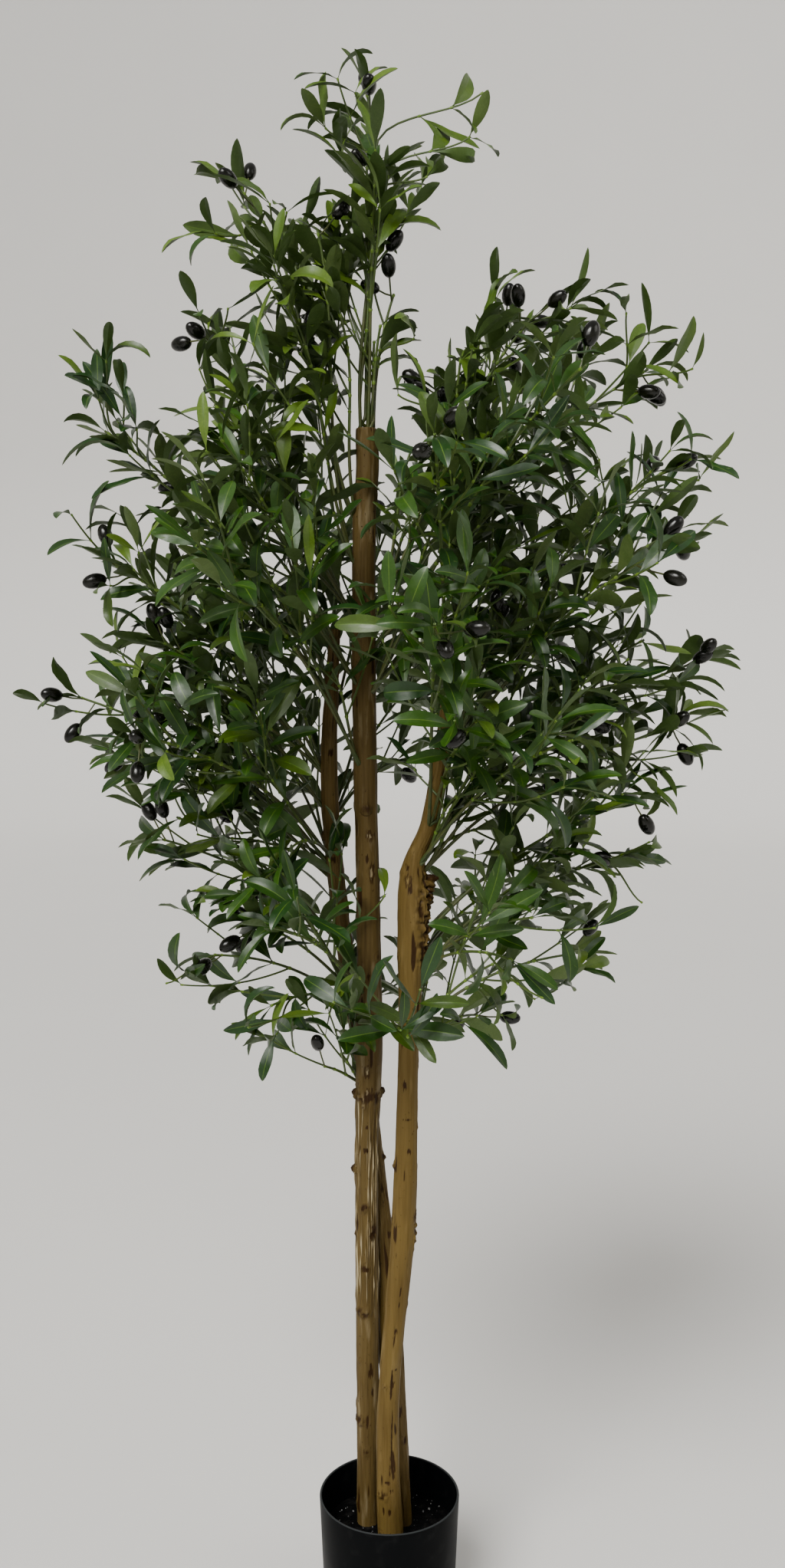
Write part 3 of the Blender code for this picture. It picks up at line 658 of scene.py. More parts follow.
def clear_of_poles(points, margin):
    """Whether points keep off every pole and its shoots by a margin."""
    for *place, radius in SHOOTS:
        root, tip = shoot_ends(*place)
        for point in points:
            nearest, share = intersect_point_line(point, root, tip)
            nearest = root.lerp(tip, min(max(share, 0.0), 1.0))
            if (point - nearest).length < radius + margin:
                return False
    for point in points:
        for pole in POLES:
            if point.z < pole_top(pole) + margin:
                centre, radius = pole_at(pole, point.z)
                if (point - centre).xy.length < radius + margin:
                    return False
    return True


def apart(course, others, distance):
    """Whether a stem's points keep a distance from those of the other stems."""
    here = np.array(course)
    for other in others:
        between = here[:, None, :] - np.array(other)[None, :, :]
        if np.min(np.sum(between ** 2, axis=2)) < distance ** 2:
            return False
    return True


def place_stems():
    """Each spray with a stem clear of the poles and of the other stems."""
    sprays = []
    for number, (name, pole, height, tip) in enumerate(spray_plan()):
        draw = random.Random(FIRST_SEED + number)
        for attempt in range(STEM_TRIES):
            shift = 0.0
            if height < pole_top(pole):
                shift = draw.uniform(-HOLE_SHIFT, HOLE_SHIFT) * (1 + attempt / SHIFT_DOUBLED)
            swing = draw.uniform(-TIP_SWING, TIP_SWING) * (1 + attempt / SWING_DOUBLED)
            swing = Vector((0.0, swing, 0.0))
            smooth = stem_course(pole, height + shift, tip + swing)
            bends = [on_course(smooth, along)[0] for along in STEM_RINGS]
            course = straightened(bends)
            launch, rest = course[STEM_STEPS // 2:STEM_STEPS], course[STEM_STEPS:]
            free = clear_of_poles(launch, LAUNCH_CLEAR) and clear_of_poles(rest, POLE_CLEAR)
            if free and apart(course, [spray["course"] for spray in sprays], STEM_CLEAR):
                sprays.append({
                    "name": name,
                    "pole": pole,
                    "height": height + shift,
                    "tip": tip + swing,
                    "course": course,
                    "smooth": smooth,
                    "draw": draw,
                })
                break
        else:
            raise ValueError(f"{name} has no clear way to its tip")
    return sprays


sprays = place_stems()


# ---- Timber of the poles ----
# Each pole's body is drawn ring by ring along its line. Its shoots are fused on, the bark's
# flutes, knots and scars are raised or sunk in it, and last the holes are drilled.

# Pole, lowest and highest level, and depth of the flutes there.
FLUTES = (
    ("trunk_tall", 0.12, 0.42, 0.0004),
    ("trunk_tall", 0.42, 0.69, 0.0021),
    ("trunk_tall", 0.68, 1.60, 0.0005),
    ("trunk_right", 0.12, 1.30, 0.0003),
    ("trunk_left", 0.12, 1.40, 0.0009),
)
FLUTE_EASE = 0.06
FLUTE_PALE = 0.0019
LINE_LEVELS = 400
KNOTS = {"trunk_tall": 22, "trunk_right": 12, "trunk_left": 14}
KNOT_RISE = (0.0006, 0.0017)
KNOT_SIZE = (0.0028, 0.0055)
KNOT_TALL = 1.25
BARK_LUMP = 0.0010
BARK_FRAY = 0.00022
BARK_GRAIN = 0.00012
GOUGE_DEPTH = 0.0008

# Dark ragged scars: pole, height, bearing in degrees, half width and half height.
SCARS = (
    ("trunk_tall", 0.690, 262.0, 0.0020, 0.0060),
    ("trunk_tall", 0.652, 266.0, 0.0030, 0.0040),
    ("trunk_tall", 0.622, 270.0, 0.0048, 0.0036),
    ("trunk_tall", 0.548, 266.0, 0.0060, 0.0034),
    ("trunk_tall", 0.512, 303.0, 0.0034, 0.0100),
    ("trunk_tall", 0.466, 262.0, 0.0062, 0.0046),
    ("trunk_tall", 0.330, 288.0, 0.0044, 0.0110),
    ("trunk_tall", 0.302, 296.0, 0.0026, 0.0070),
    ("trunk_tall", 1.235, 262.0, 0.0045, 0.0075),
    ("trunk_tall", 0.992, 272.0, 0.0026, 0.0060),
    ("trunk_tall", 0.975, 284.0, 0.0030, 0.0044),
    ("trunk_tall", 0.845, 268.0, 0.0030, 0.0046),
    ("trunk_tall", 0.815, 236.0, 0.0020, 0.0060),
    ("trunk_tall", 0.790, 282.0, 0.0030, 0.0060),
    ("trunk_right", 0.715, 255.0, 0.0030, 0.0070),
    ("trunk_right", 0.672, 272.0, 0.0048, 0.0024),
    ("trunk_right", 0.632, 284.0, 0.0050, 0.0030),
    ("trunk_right", 0.606, 200.0, 0.0040, 0.0034),
    ("trunk_right", 0.600, 262.0, 0.0006, 0.0070),
    ("trunk_right", 0.452, 283.0, 0.0010, 0.0060),
    ("trunk_right", 0.436, 284.0, 0.0012, 0.0050),
    ("trunk_right", 0.402, 280.0, 0.0026, 0.0060),
    ("trunk_right", 0.350, 300.0, 0.0050, 0.0012),
    ("trunk_right", 0.332, 286.0, 0.0030, 0.0050),
    ("trunk_right", 0.322, 278.0, 0.0016, 0.0040),
    ("trunk_right", 0.270, 291.0, 0.0014, 0.0420),
    ("trunk_right", 0.228, 294.0, 0.0044, 0.0200),
    ("trunk_right", 0.204, 262.0, 0.0060, 0.0015),
    ("trunk_right", 0.201, 276.0, 0.0050, 0.0014),
    ("trunk_right", 0.193, 284.0, 0.0028, 0.0030),
    ("trunk_right", 0.166, 238.0, 0.0020, 0.0050),
    ("trunk_right", 0.165, 272.0, 0.0022, 0.0050),
    ("trunk_right", 0.958, 258.0, 0.0038, 0.0060),
    ("trunk_right", 0.985, 236.0, 0.0030, 0.0040),
    ("trunk_left", 0.560, 300.0, 0.0034, 0.0050),
    ("trunk_left", 0.500, 306.0, 0.0040, 0.0060),
    ("trunk_left", 0.270, 300.0, 0.0030, 0.0090),
    ("trunk_left", 0.230, 318.0, 0.0040, 0.0070),
    ("trunk_left", 0.985, 270.0, 0.0040, 0.0050),
    ("trunk_left", 1.120, 285.0, 0.0036, 0.0050),
    ("trunk_left", 0.840, 262.0, 0.0036, 0.0046),
)
SCAR_DEPTH = 0.0009

# Nicks down to the pale wood, with torn dark edges: pole, height, bearing, half width and height.
NICKS = (
    ("trunk_tall", 1.020, 288.0, 0.0040, 0.0044),
    ("trunk_tall", 0.977, 290.0, 0.0026, 0.0085),
    ("trunk_tall", 0.724, 262.0, 0.0026, 0.0060),
    ("trunk_tall", 0.697, 271.0, 0.0028, 0.0044),
    ("trunk_right", 0.970, 244.0, 0.0030, 0.0052),
)

# Rough dark burls: pole, height, bearing in degrees, half width, half height and rise.
BURLS = (
    ("trunk_right", 0.912, 334.0, 0.0100, 0.0280, 0.0030),
    ("trunk_right", 0.935, 314.0, 0.0140, 0.0300, 0.0024),
    ("trunk_right", 0.885, 326.0, 0.0140, 0.0260, 0.0026),
    ("trunk_right", 0.950, 342.0, 0.0130, 0.0160, 0.0036),
    ("trunk_right", 0.966, 6.0, 0.0150, 0.0140, 0.0034),
    ("trunk_tall", 0.690, 270.0, 0.0300, 0.0100, 0.0010),
    ("trunk_tall", 0.408, 248.0, 0.0150, 0.0085, 0.0018),
    ("trunk_tall", 0.262, 228.0, 0.0085, 0.0100, 0.0022),
    ("trunk_tall", 0.222, 262.0, 0.0050, 0.0060, 0.0018),
    ("trunk_tall", 0.466, 262.0, 0.0080, 0.0070, 0.0016),
    ("trunk_tall", 0.548, 262.0, 0.0070, 0.0060, 0.0014),
    ("trunk_tall", 0.515, 310.0, 0.0100, 0.0130, 0.0010),
    ("trunk_right", 0.187, 235.0, 0.0100, 0.0090, 0.0020),
    ("trunk_right", 0.610, 190.0, 0.0060, 0.0070, 0.0022),
    ("trunk_right", 0.518, 352.0, 0.0080, 0.0200, 0.0024),
    ("trunk_right", 0.662, 350.0, 0.0040, 0.0050, 0.0016),
    ("trunk_tall", 0.509, 182.0, 0.0050, 0.0060, 0.0016),
    ("trunk_tall", 0.264, 190.0, 0.0060, 0.0070, 0.0020),
    ("trunk_left", 0.600, 350.0, 0.0050, 0.0060, 0.0026),
    ("trunk_left", 0.930, 200.0, 0.0070, 0.0090, 0.0020),
)
SHOOT_ROT = 1.50
SHOOT_TORN = 0.30


def pole_knots(pole):
    """Small knots dealt out along a pole: height, bearing, size and rise."""
    draw = random.Random(len(pole) * 7 + KNOTS[pole])
    low, high = POLES[pole][0][0], pole_top(pole)
    knots = []
    for number in range(KNOTS[pole]):
        height = low + (high - low) * (number + draw.uniform(0.1, 0.9)) / KNOTS[pole]
        bearing = draw.uniform(0.0, math.tau)
        size = draw.uniform(*KNOT_SIZE)
        knots.append((height, bearing, size, draw.uniform(*KNOT_RISE)))
    return knots


def pole_lines(pole, heights):
    """A pole's centre and radius at many heights, as three rows."""
    levels = np.linspace(POLES[pole][0][0], pole_top(pole), LINE_LEVELS)
    line = [(*pole_at(pole, level)[0].xy, pole_at(pole, level)[1]) for level in levels]
    return [np.interp(heights, levels, column) for column in zip(*line)]


def flute_depths(pole, heights):
    """Depth of the flutes at many heights, eased from one level to the next."""
    depths = np.zeros(len(heights))
    for name, low, high, deep in FLUTES:
        if name == pole:
            inside = np.minimum((heights - low) / FLUTE_EASE, (high - heights) / FLUTE_EASE) + 0.5
            depths = np.maximum(depths, deep * np.clip(inside, 0.0, 1.0))
    return depths


def bark(pole, corners, knots):
    """Rise of the bark at each corner, its share of crest (or, below 0, of hollow), and of scar."""
    heights = corners[:, 2]
    centre_x, centre_y, radius = pole_lines(pole, heights)
    angles = np.arctan2(corners[:, 1] - centre_y, corners[:, 0] - centre_x)
    around = np.stack([np.cos(angles), np.sin(angles)], axis=1)
    seed = 10.0 * list(POLES).index(pole)

    def field(turns, lengths, apart_by):
        """A noise on the bark: how close it is round the pole and along it, and which one."""
        places = np.column_stack([around * turns, heights * lengths + seed + apart_by])
        return np.array([noise.noise(place) for place in places])

    def away_from(height, bearing, wide, tall):
        """How far each corner is from a mark's middle, in its half widths and half heights."""
        turn = (angles - bearing + math.pi) % math.tau - math.pi
        return np.hypot(turn * radius / wide, (heights - height) / tall)

    lumps = field(1.3, 16.0, 0.0)
    fray = field(9.0, 45.0, 1.0)
    grain = field(16.0, 160.0, 2.0)
    ridge = 1.0 - np.abs(field(4.6, 4.6, 3.0)) * 2.6
    gouge = field(2.6, 24.0, 7.0)
    nubs = field(3.4, 190.0, 5.0)
    flutes = flute_depths(pole, heights)
    crest = np.maximum(ridge, 0.0) ** 4 * (0.85 + 0.6 * fray)
    hollow = np.clip(-ridge, 0.0, 1.0) * 0.8
    scar = np.clip((gouge - 0.52) / 0.10, 0.0, 1.0)
    rise = (
        BARK_LUMP * lumps + flutes * (crest - 0.5)
        + BARK_FRAY * fray + BARK_GRAIN * grain - GOUGE_DEPTH * scar
    )
    for height, bearing, size, proud in knots:
        away = away_from(height, bearing, size, size * KNOT_TALL)
        rise += proud * (1.6 * np.exp(-away ** 2) - np.exp(-(away / 0.45) ** 2))
        ring = 0.4 * np.exp(-((away - 1.1) / 0.3) ** 2)
        scar = np.maximum(scar, np.maximum(0.7 * np.exp(-(away / 0.5) ** 2), ring))
    for name, height, bearing, wide, tall in SCARS:
        if name == pole:
            away = away_from(height, math.radians(bearing), wide, tall)
            torn = np.clip((1.0 - away + 0.8 * fray + 0.6 * grain) / 0.5, 0.0, 1.0) * (away < 1.6)
            rise -= SCAR_DEPTH * torn
            scar = np.maximum(scar, torn)
    pale_wear_and_highlight = (crest - hollow) * np.minimum(flutes / FLUTE_PALE, 1.0)
    for name, height, bearing, wide, tall in NICKS:
        if name == pole:
            away = away_from(height, math.radians(bearing), wide, tall)
            bare = np.clip((1.0 - away + 1.1 * fray + 0.9 * grain) / 0.8, 0.0, 0.65) * (away < 1.6)
            torn = np.clip((1.9 - away + 1.4 * fray + 1.0 * grain) / 0.6, 0.0, 1.0) * (away < 2.6)
            rise -= SCAR_DEPTH * bare
            pale_wear_and_highlight = np.maximum(pale_wear_and_highlight, bare)
            scar = np.maximum(scar, 0.7 * torn) * (1.0 - bare)
    for name, height, bearing, wide, tall, proud in BURLS:
        if name == pole:
            lump = np.exp(-away_from(height, math.radians(bearing), wide, tall) ** 2 * 1.4)
            rise += proud * lump * (0.7 + 1.7 * nubs + 0.7 * grain)
            scar = np.maximum(scar, lump * np.clip(0.72 - 1.9 * nubs - 1.0 * grain, 0.0, 1.0))
    for *place, thick in SHOOTS:
        if place[0] == pole:
            from_tip = np.linalg.norm(corners - np.array(shoot_ends(*place)[1]), axis=1)
            torn = np.clip(1.2 - from_tip / (thick * SHOOT_ROT) + 0.6 * fray, 0.0, 1.0)
            rise += torn * thick * SHOOT_TORN * (nubs + grain)
            scar = np.maximum(scar, torn * np.clip(0.9 - 0.8 * grain, 0.0, 1.0))
    return rise, pale_wear_and_highlight, scar


def drawn(rows, steps):
    """A closed solid of rings, each a centre, two level axes and a radius, from point to point."""
    shape = bmesh.new()
    bmesh.ops.create_grid(shape, x_segments=steps, y_segments=len(rows) - 1, size=0.5)
    for corner in shape.verts:
        turn = (corner.co.x + 0.5) * math.tau
        centre, side, front, radius = rows[round((corner.co.y + 0.5) * (len(rows) - 1))]
        corner.co = centre + (side * math.cos(turn) + front * math.sin(turn)) * radius
    bmesh.ops.remove_doubles(shape, verts=shape.verts, dist=0.00002)
    bmesh.ops.recalc_face_normals(shape, faces=shape.faces)
    return shape


def pole_body(pole):
    """A pole from its flat foot to its sawn top, whose edge is just eased."""
    low, high = POLES[pole][0][0], pole_top(pole)
    side, front = Vector((1.0, 0.0, 0.0)), Vector((0.0, 1.0, 0.0))
    rows = [(pole_at(pole, low)[0], side, front, 0.0)]
    for height in np.linspace(low, high - SAWN_ROUND, round((high - low) / POLE_STEP)):
        centre, radius = pole_at(pole, height)
        rows.append((centre, side, front, radius))
    top, radius = pole_at(pole, high)
    for share in (1.0 - SAWN_ROUND / radius, 0.8, 0.6, 0.4, 0.2, 0.0):
        rows.append((top, side, front, radius * share))
    return drawn(rows, POLE_STEPS)


def shoot_body(pole, height, bearing, steep, length, radius):
    """A sawn shoot that swells into a collar where it leaves its pole."""
    root, tip = shoot_ends(pole, height, bearing, steep, length)
    heading = (tip - root).normalized()
    side = heading.orthogonal().normalized()
    front = heading.cross(side)
    skin = pole_at(pole, height)[1] / length
    rows = [(root, side, front, 0.0)]
    for step in range(SHOOT_RINGS + 1):
        along = step / SHOOT_RINGS
        swell = COLLAR_SWELL * math.exp(-max(along - skin, 0.0) * length / COLLAR_REACH)
        wide = radius * (1.0 - (1.0 - SHOOT_TAPER) * along) + swell
        rows.append((root.lerp(tip, along), side, front, wide))
    for share in SAWN_RINGS:
        rows.append((tip + heading * SAWN_PROUD, side, front, radius * SHOOT_TAPER * share))
    return drawn(rows, SHOOT_STEPS)


def cut_by(base, shapes, operation):
    """Join shapes to an object, or cut them out of it, and return the new mesh."""
    tools = bpy.data.collections.new("tools")
    bpy.context.scene.collection.children.link(tools)
    for shape in shapes:
        mesh = bpy.data.meshes.new("tool")
        shape.to_mesh(mesh)
        shape.free()
        tools.objects.link(bpy.data.objects.new("tool", mesh))
    change = base.modifiers.new("change", "BOOLEAN")
    change.operation = operation
    change.operand_type = "COLLECTION"
    change.collection = tools
    change.solver = "MANIFOLD"
    bpy.context.view_layer.update()
    mesh = bpy.data.meshes.new_from_object(base.evaluated_get(bpy.context.evaluated_depsgraph_get()))
    base.modifiers.clear()
    base.data = mesh
    for tool in list(tools.objects):
        bpy.data.objects.remove(tool, do_unlink=True)
    bpy.data.collections.remove(tools)
    return mesh


def drill(spray):
    """Where a spray's hole enters its pole, and the way it is drilled."""
    start = spray["smooth"][0]
    centre, _ = pole_at(spray["pole"], start.z)
    if spray["height"] >= pole_top(spray["pole"]):
        return start, -UP
    out = Vector((start.x - centre.x, start.y - centre.y, 0.0)).normalized()
    slant = math.radians(HOLE_SLANT)
    return start, (-out * math.cos(slant) - UP * math.sin(slant))


def drill_bit(mouth, inward):
    """The round tool that cuts a hole, from just outside its mouth to its bottom."""
    shape = bmesh.new()
    turn = UP.rotation_difference(inward)
    middle = mouth + inward * (HOLE_DEPTH - HOLE_RADIUS) / 2
    bmesh.ops.create_cone(
        shape, cap_ends=True, segments=HOLE_STEPS,
        radius1=HOLE_RADIUS, radius2=HOLE_RADIUS * HOLE_TAPER,
        depth=HOLE_DEPTH + HOLE_RADIUS, matrix=Matrix.LocRotScale(middle, turn, None),
    )
    return shape


ROT_BROWN = (0.026, 0.0110, 0.0018)
WOOD_SHINE = 0.14


def timber(name, mid, dark, pale):
    """Coated timber: long fibres, blotches, pale worn crests and dark scars with rot in them."""
    finish = plastic_finish(name, mid, 0.6, WOOD_SHINE)
    nodes = finish.node_tree.nodes
    crest, scar = nodes.new("ShaderNodeAttribute"), nodes.new("ShaderNodeAttribute")
    crest.attribute_name = "crest"
    scar.attribute_name = "scar"
    blotch = ranged(finish, mottle(finish, 26.0, 5.0, (1.0, 1.0, 0.28)), 0.36, 0.68)
    fibre = mottle(finish, 240.0, 6.0, (1.0, 1.0, 0.05), (0.3, 0.1, 0.0))
    speck = ranged(finish, mottle(finish, 330.0, 3.0, (1.0, 1.0, 0.5)), 0.66, 0.74)
    rub = ranged(finish, mottle(finish, 110.0, 5.0, (1.0, 1.0, 0.15)), 0.56, 0.72, 0.0, 0.55)
    colour = blended(finish, blotch, mid, tuple(0.62 * m + 0.38 * d for m, d in zip(mid, dark)))
    colour = blended(finish, ranged(finish, fibre, 0.45, 0.72, 0.0, 0.6), colour, dark)
    colour = blended(finish, rub, colour, tuple(0.5 * (m + p) for m, p in zip(mid, pale)))
    colour = blended(finish, ranged(finish, crest.outputs["Fac"], -0.05, -0.40, 0.0, 0.9), colour, dark)
    colour = blended(finish, ranged(finish, crest.outputs["Fac"], 0.36, 0.85), colour, pale)
    colour = blended(finish, speck, colour, dark)
    colour = blended(finish, ranged(finish, scar.outputs["Fac"], 0.20, 0.75), colour, ROT_BROWN)
    colour_by(finish, colour)
    gloss_by(finish, fibre, 0.48, 0.72)
    relief_by(finish, fibre, 0.0005, 0.7)
    return finish


def end_grain():
    """A sawn end: rough, pale, and greyed by handling."""
    finish = plastic_finish("timber_end_grain", (0.30, 0.22, 0.12), 0.8)
    grain = mottle(finish, 420.0, 5.0)
    stain = ranged(finish, mottle(finish, 70.0, 4.0), 0.38, 0.66)
    colour = blended(finish, stain, (0.28, 0.20, 0.11), (0.10, 0.07, 0.04))
    dirt = ranged(finish, grain, 0.5, 0.7, 0.0, 0.5)
    colour_by(finish, blended(finish, dirt, colour, (0.05, 0.035, 0.02)))
    relief_by(finish, grain, 0.0004, 0.7)
    return finish


def hole_wall():
    """The raw wall of a drilled hole, darkened by glue."""
    finish = plastic_finish("timber_hole_wall", (0.035, 0.024, 0.013), 0.75)
    grain = mottle(finish, 500.0, 3.0)
    colour_by(finish, blended(finish, grain, (0.020, 0.014, 0.008), (0.060, 0.040, 0.020)))
    return finish


def corners_of(mesh):
    """A mesh's corners as rows."""
    rows = np.empty(len(mesh.vertices) * 3)
    mesh.vertices.foreach_get("co", rows)
    return rows.reshape(-1, 3)


def raise_bark(pole, mesh, knots):
    """Push a pole's corners out or in by its bark, but keep its sawn ends flat."""
    corners = corners_of(mesh)
    normals = np.array([corner.normal for corner in mesh.vertices])
    rise, _, _ = bark(pole, corners, knots)
    corners += normals * (rise * (1.0 - normals[:, 2] ** 2))[:, None]
    mesh.vertices.foreach_set("co", corners.ravel())
    mesh.update()


def face_finishes(pole, mesh, holes):
    """Which finish each face of a pole takes: 0 timber, 1 end grain on its top, 2 hole wall."""
    centres = np.array([face.center for face in mesh.polygons])
    normals = np.array([face.normal for face in mesh.polygons])
    finishes = np.zeros(len(centres), int)
    finishes[(normals[:, 2] > 0.9) & (centres[:, 2] > pole_top(pole) - SAWN_ROUND)] = 1
    for mouth, inward in holes:
        from_mouth = centres - np.array(mouth)
        along = from_mouth @ np.array(inward)
        aside = np.linalg.norm(from_mouth - along[:, None] * np.array(inward), axis=1)
        finishes[(along > HOLE_LIP) & (along < HOLE_DEPTH) & (aside < HOLE_RADIUS * 0.999)] = 2
    return finishes


def make_pole(pole, name, finishes):
    """A pole with its shoots, bark and holes, in timber, end grain and hole wall."""
    mesh = bpy.data.meshes.new(name)
    body = pole_body(pole)
    body.to_mesh(mesh)
    body.free()
    base = bpy.data.objects.new("pole_base", mesh)
    bpy.context.scene.collection.objects.link(base)
    shoots = [place for place in SHOOTS if place[0] == pole]
    knots = pole_knots(pole)
    mesh = cut_by(base, [shoot_body(*place) for place in shoots], "UNION")
    raise_bark(pole, mesh, knots)
    holes = [drill(spray) for spray in sprays if spray["pole"] == pole]
    mesh = cut_by(base, [drill_bit(*hole) for hole in holes], "DIFFERENCE")
    bpy.data.objects.remove(base, do_unlink=True)
    _, crest, scar = bark(pole, corners_of(mesh), knots)
    for layer, values in (("crest", crest), ("scar", scar)):
        mesh.attributes.new(layer, "FLOAT", "POINT").data.foreach_set("value", values)
    mesh.materials.clear()
    mesh.polygons.foreach_set("material_index", face_finishes(pole, mesh, holes))
    piece_from(name, mesh, finishes, [pole], sharp=48.0)


sawn, drilled = end_grain(), hole_wall()
# The middle, dark and pale shade of each pole's timber.
brown = timber("timber_brown", (0.104, 0.069, 0.020), (0.034, 0.019, 0.005), (0.42, 0.35, 0.21))
tan = timber("timber_tan", (0.126, 0.083, 0.021), (0.066, 0.038, 0.008), (0.25, 0.18, 0.070))
grey = timber("timber_grey_brown", (0.104, 0.067, 0.017), (0.030, 0.017, 0.004), (0.25, 0.19, 0.085))
make_pole("trunk_tall", "pole_tall", [brown, sawn, drilled])
make_pole("trunk_right", "pole_right", [tan, sawn, drilled])
make_pole("trunk_left", "pole_left", [grey, sawn, drilled])


# ---- Stems and twigs ----
# Soft plastic moulded over wire. Stems are bare and brownish green where they leave their
# holes, and greener outwards. Twigs and leaf pairs sit on swollen, brighter nodes.

STEM_RADII = (0.00225, 0.00150)
TWIG_RADII = (0.00150, 0.00110)
STEM_SIDES = 8
TWIG_SIDES = 6
STEM_BARE = 0.40
TWIG_BARE = 0.22
NODE_STEP = 0.039
NODE_SWELL = 1.45
NODE_LENGTH = 0.0022
RINGS_APART = 0.4
LAST_NODE = 0.985
SECOND_REACH = (0.90, 0.60, 0.76)
INNER_REACH = (0.42, 0.54, 0.36)
TWO_STEMS = (0.77, 1.10)
STEM_SWING = (0.05, 0.10)
STEM_ASIDE = 0.0014
PLUGGED = 0.8
MOUTH_DEPTH = 0.001
LAUNCH_POINTS = 8
SHORTER_SLACK = 0.98
SHORTER_TRIES = 9
TRIES_A_REACH = 3
TWIG_SEED = 900
END_LEAF_REACH = 0.045
SHORTEST_STEM = 30
TWIG_SPAN = (0.34, 0.90)
TWIG_EVERY = 0.054
TOP_SPARSER = 1.7
TWIG_LENGTHS = (0.150, 0.085)
TWIG_VARIES = (0.8, 1.15)
TWIG_SPREAD = (28.0, 44.0)
TWIG_ALONG = 0.55
TWIG_LIFT = 0.35
TWIG_STEPS = 10
TWIG_POLE_CLEAR = 0.005
TWIG_SLACK = 1.04
TOP_SLACK = 1.22
TOP_FROM = 1.80
TURNS_TRIED = 6
GOLDEN_TURN = math.radians(137.5)
# Where the crown stands open to someone in front: x and height in the plane of the poles,
# and half the width and height of the opening.
VIEWER = Vector((0.004, -1.737, 1.236))
OPENINGS = (
    (0.025, 1.900, 0.040, 0.045),
    (-0.160, 1.855, 0.015, 0.035),
    (-0.100, 1.840, 0.015, 0.040),
    (-0.135, 1.825, 0.025, 0.025),
    (-0.210, 1.800, 0.015, 0.015),
    (0.085, 1.775, 0.035, 0.055),
    (0.025, 1.715, 0.040, 0.040),
    (0.090, 1.705, 0.030, 0.050),
    (-0.215, 1.695, 0.035, 0.020),
    (-0.165, 1.690, 0.020, 0.015),
    (0.180, 1.690, 0.025, 0.040),
    (-0.270, 1.680, 0.020, 0.030),
    (0.060, 1.650, 0.025, 0.040),
    (-0.030, 1.630, 0.030, 0.090),
    (-0.280, 1.605, 0.040, 0.045),
    (0.275, 1.585, 0.020, 0.030),
    (-0.250, 1.550, 0.015, 0.020),
    (0.330, 1.535, 0.020, 0.020),
    (0.025, 1.520, 0.025, 0.025),
    (0.385, 1.515, 0.015, 0.015),
    (0.260, 1.510, 0.020, 0.020),
    (-0.395, 1.440, 0.015, 0.020),
    (-0.305, 1.440, 0.015, 0.020),
    (-0.145, 1.355, 0.015, 0.020),
    (0.355, 1.345, 0.020, 0.020),
    (0.340, 1.295, 0.015, 0.020),
    (0.350, 1.260, 0.015, 0.020),
    (-0.345, 1.180, 0.020, 0.015),
    (-0.275, 1.155, 0.015, 0.015),
    (0.310, 1.150, 0.025, 0.015),
    (0.365, 1.140, 0.015, 0.015),
    (0.355, 1.105, 0.015, 0.015),
    (-0.280, 1.055, 0.020, 0.020),
    (-0.350, 1.040, 0.025, 0.020),
    (0.080, 1.040, 0.025, 0.020),
    (-0.210, 1.040, 0.015, 0.015),
    (0.305, 1.035, 0.050, 0.020),
    (0.185, 1.030, 0.020, 0.020),
    (-0.100, 1.025, 0.020, 0.020),
    (-0.255, 1.025, 0.015, 0.020),
    (0.030, 1.005, 0.030, 0.070),
    (-0.025, 1.000, 0.015, 0.065),
    (-0.220, 0.990, 0.025, 0.020),
    (-0.265, 0.975, 0.030, 0.015),
    (0.335, 0.970, 0.020, 0.015),
    (-0.105, 0.965, 0.015, 0.020),
    (-0.220, 0.925, 0.015, 0.020),
    (-0.205, 0.890, 0.015, 0.015),
    (-0.240, 0.890, 0.020, 0.020),
    (0.200, 0.890, 0.030, 0.035),
    (0.000, 0.880, 0.015, 0.040),
    (-0.095, 0.880, 0.025, 0.030),
    (-0.155, 0.840, 0.025, 0.020),
    (0.090, 0.835, 0.035, 0.020),
    (-0.075, 0.775, 0.020, 0.020),
    (-0.100, 0.735, 0.040, 0.040),
)
# Tips of the twigs added where the crown is fullest: x and height.
TUFTS = (
    (0.110, 1.895),
    (-0.040, 1.895),
    (-0.075, 1.855),
    (0.095, 1.845),
    (-0.055, 1.820),
    (0.045, 1.800),
    (-0.140, 1.770),
    (-0.120, 1.760),
    (0.020, 1.755),
    (-0.205, 1.735),
    (0.125, 1.660),
    (-0.190, 1.650),
    (0.215, 1.650),
    (0.280, 1.645),
    (-0.225, 1.645),
    (0.030, 1.615),
    (-0.335, 1.590),
    (-0.225, 1.580),
    (0.360, 1.580),
    (0.010, 1.550),
    (-0.315, 1.545),
    (-0.345, 1.545),
    (-0.300, 1.510),
    (0.360, 1.475),
    (0.250, 1.475),
    (0.370, 1.450),
    (0.210, 1.435),
    (-0.380, 1.410),
    (-0.300, 1.365),
    (-0.335, 1.325),
    (0.345, 1.165),
    (0.030, 1.105),
    (0.305, 1.095),
    (-0.265, 1.080),
    (0.285, 1.075),
    (-0.235, 1.070),
    (0.105, 1.000),
    (-0.005, 0.950),
    (-0.190, 0.940),
    (0.310, 0.940),
    (-0.275, 0.840),
    (0.180, 0.820),
    (0.110, 0.800),
    (0.140, 0.800),
    (-0.140, 0.775),
    (0.105, 0.765),
)
TUFT_BACK = -0.03
TUFT_REACH = (0.055, 0.190)
TUFT_ROOTS = tuple(0.34 + 0.04 * step for step in range(16))
TUFT_TURN = 0.35
TUFT_HANDLES = (0.35, 0.30)
SIDES_OF_CROWN = {
    "left": ("spray_left",),
    "right": ("spray_right", "spray_crown"),
    "front": ("spray_front",),
    "back": ("spray_back",),
    "top": ("spray_top",),
}


def side_of(name):
    """The side of the crown that a spray belongs to."""
    return next(side for side, starts in SIDES_OF_CROWN.items() if name.startswith(starts))


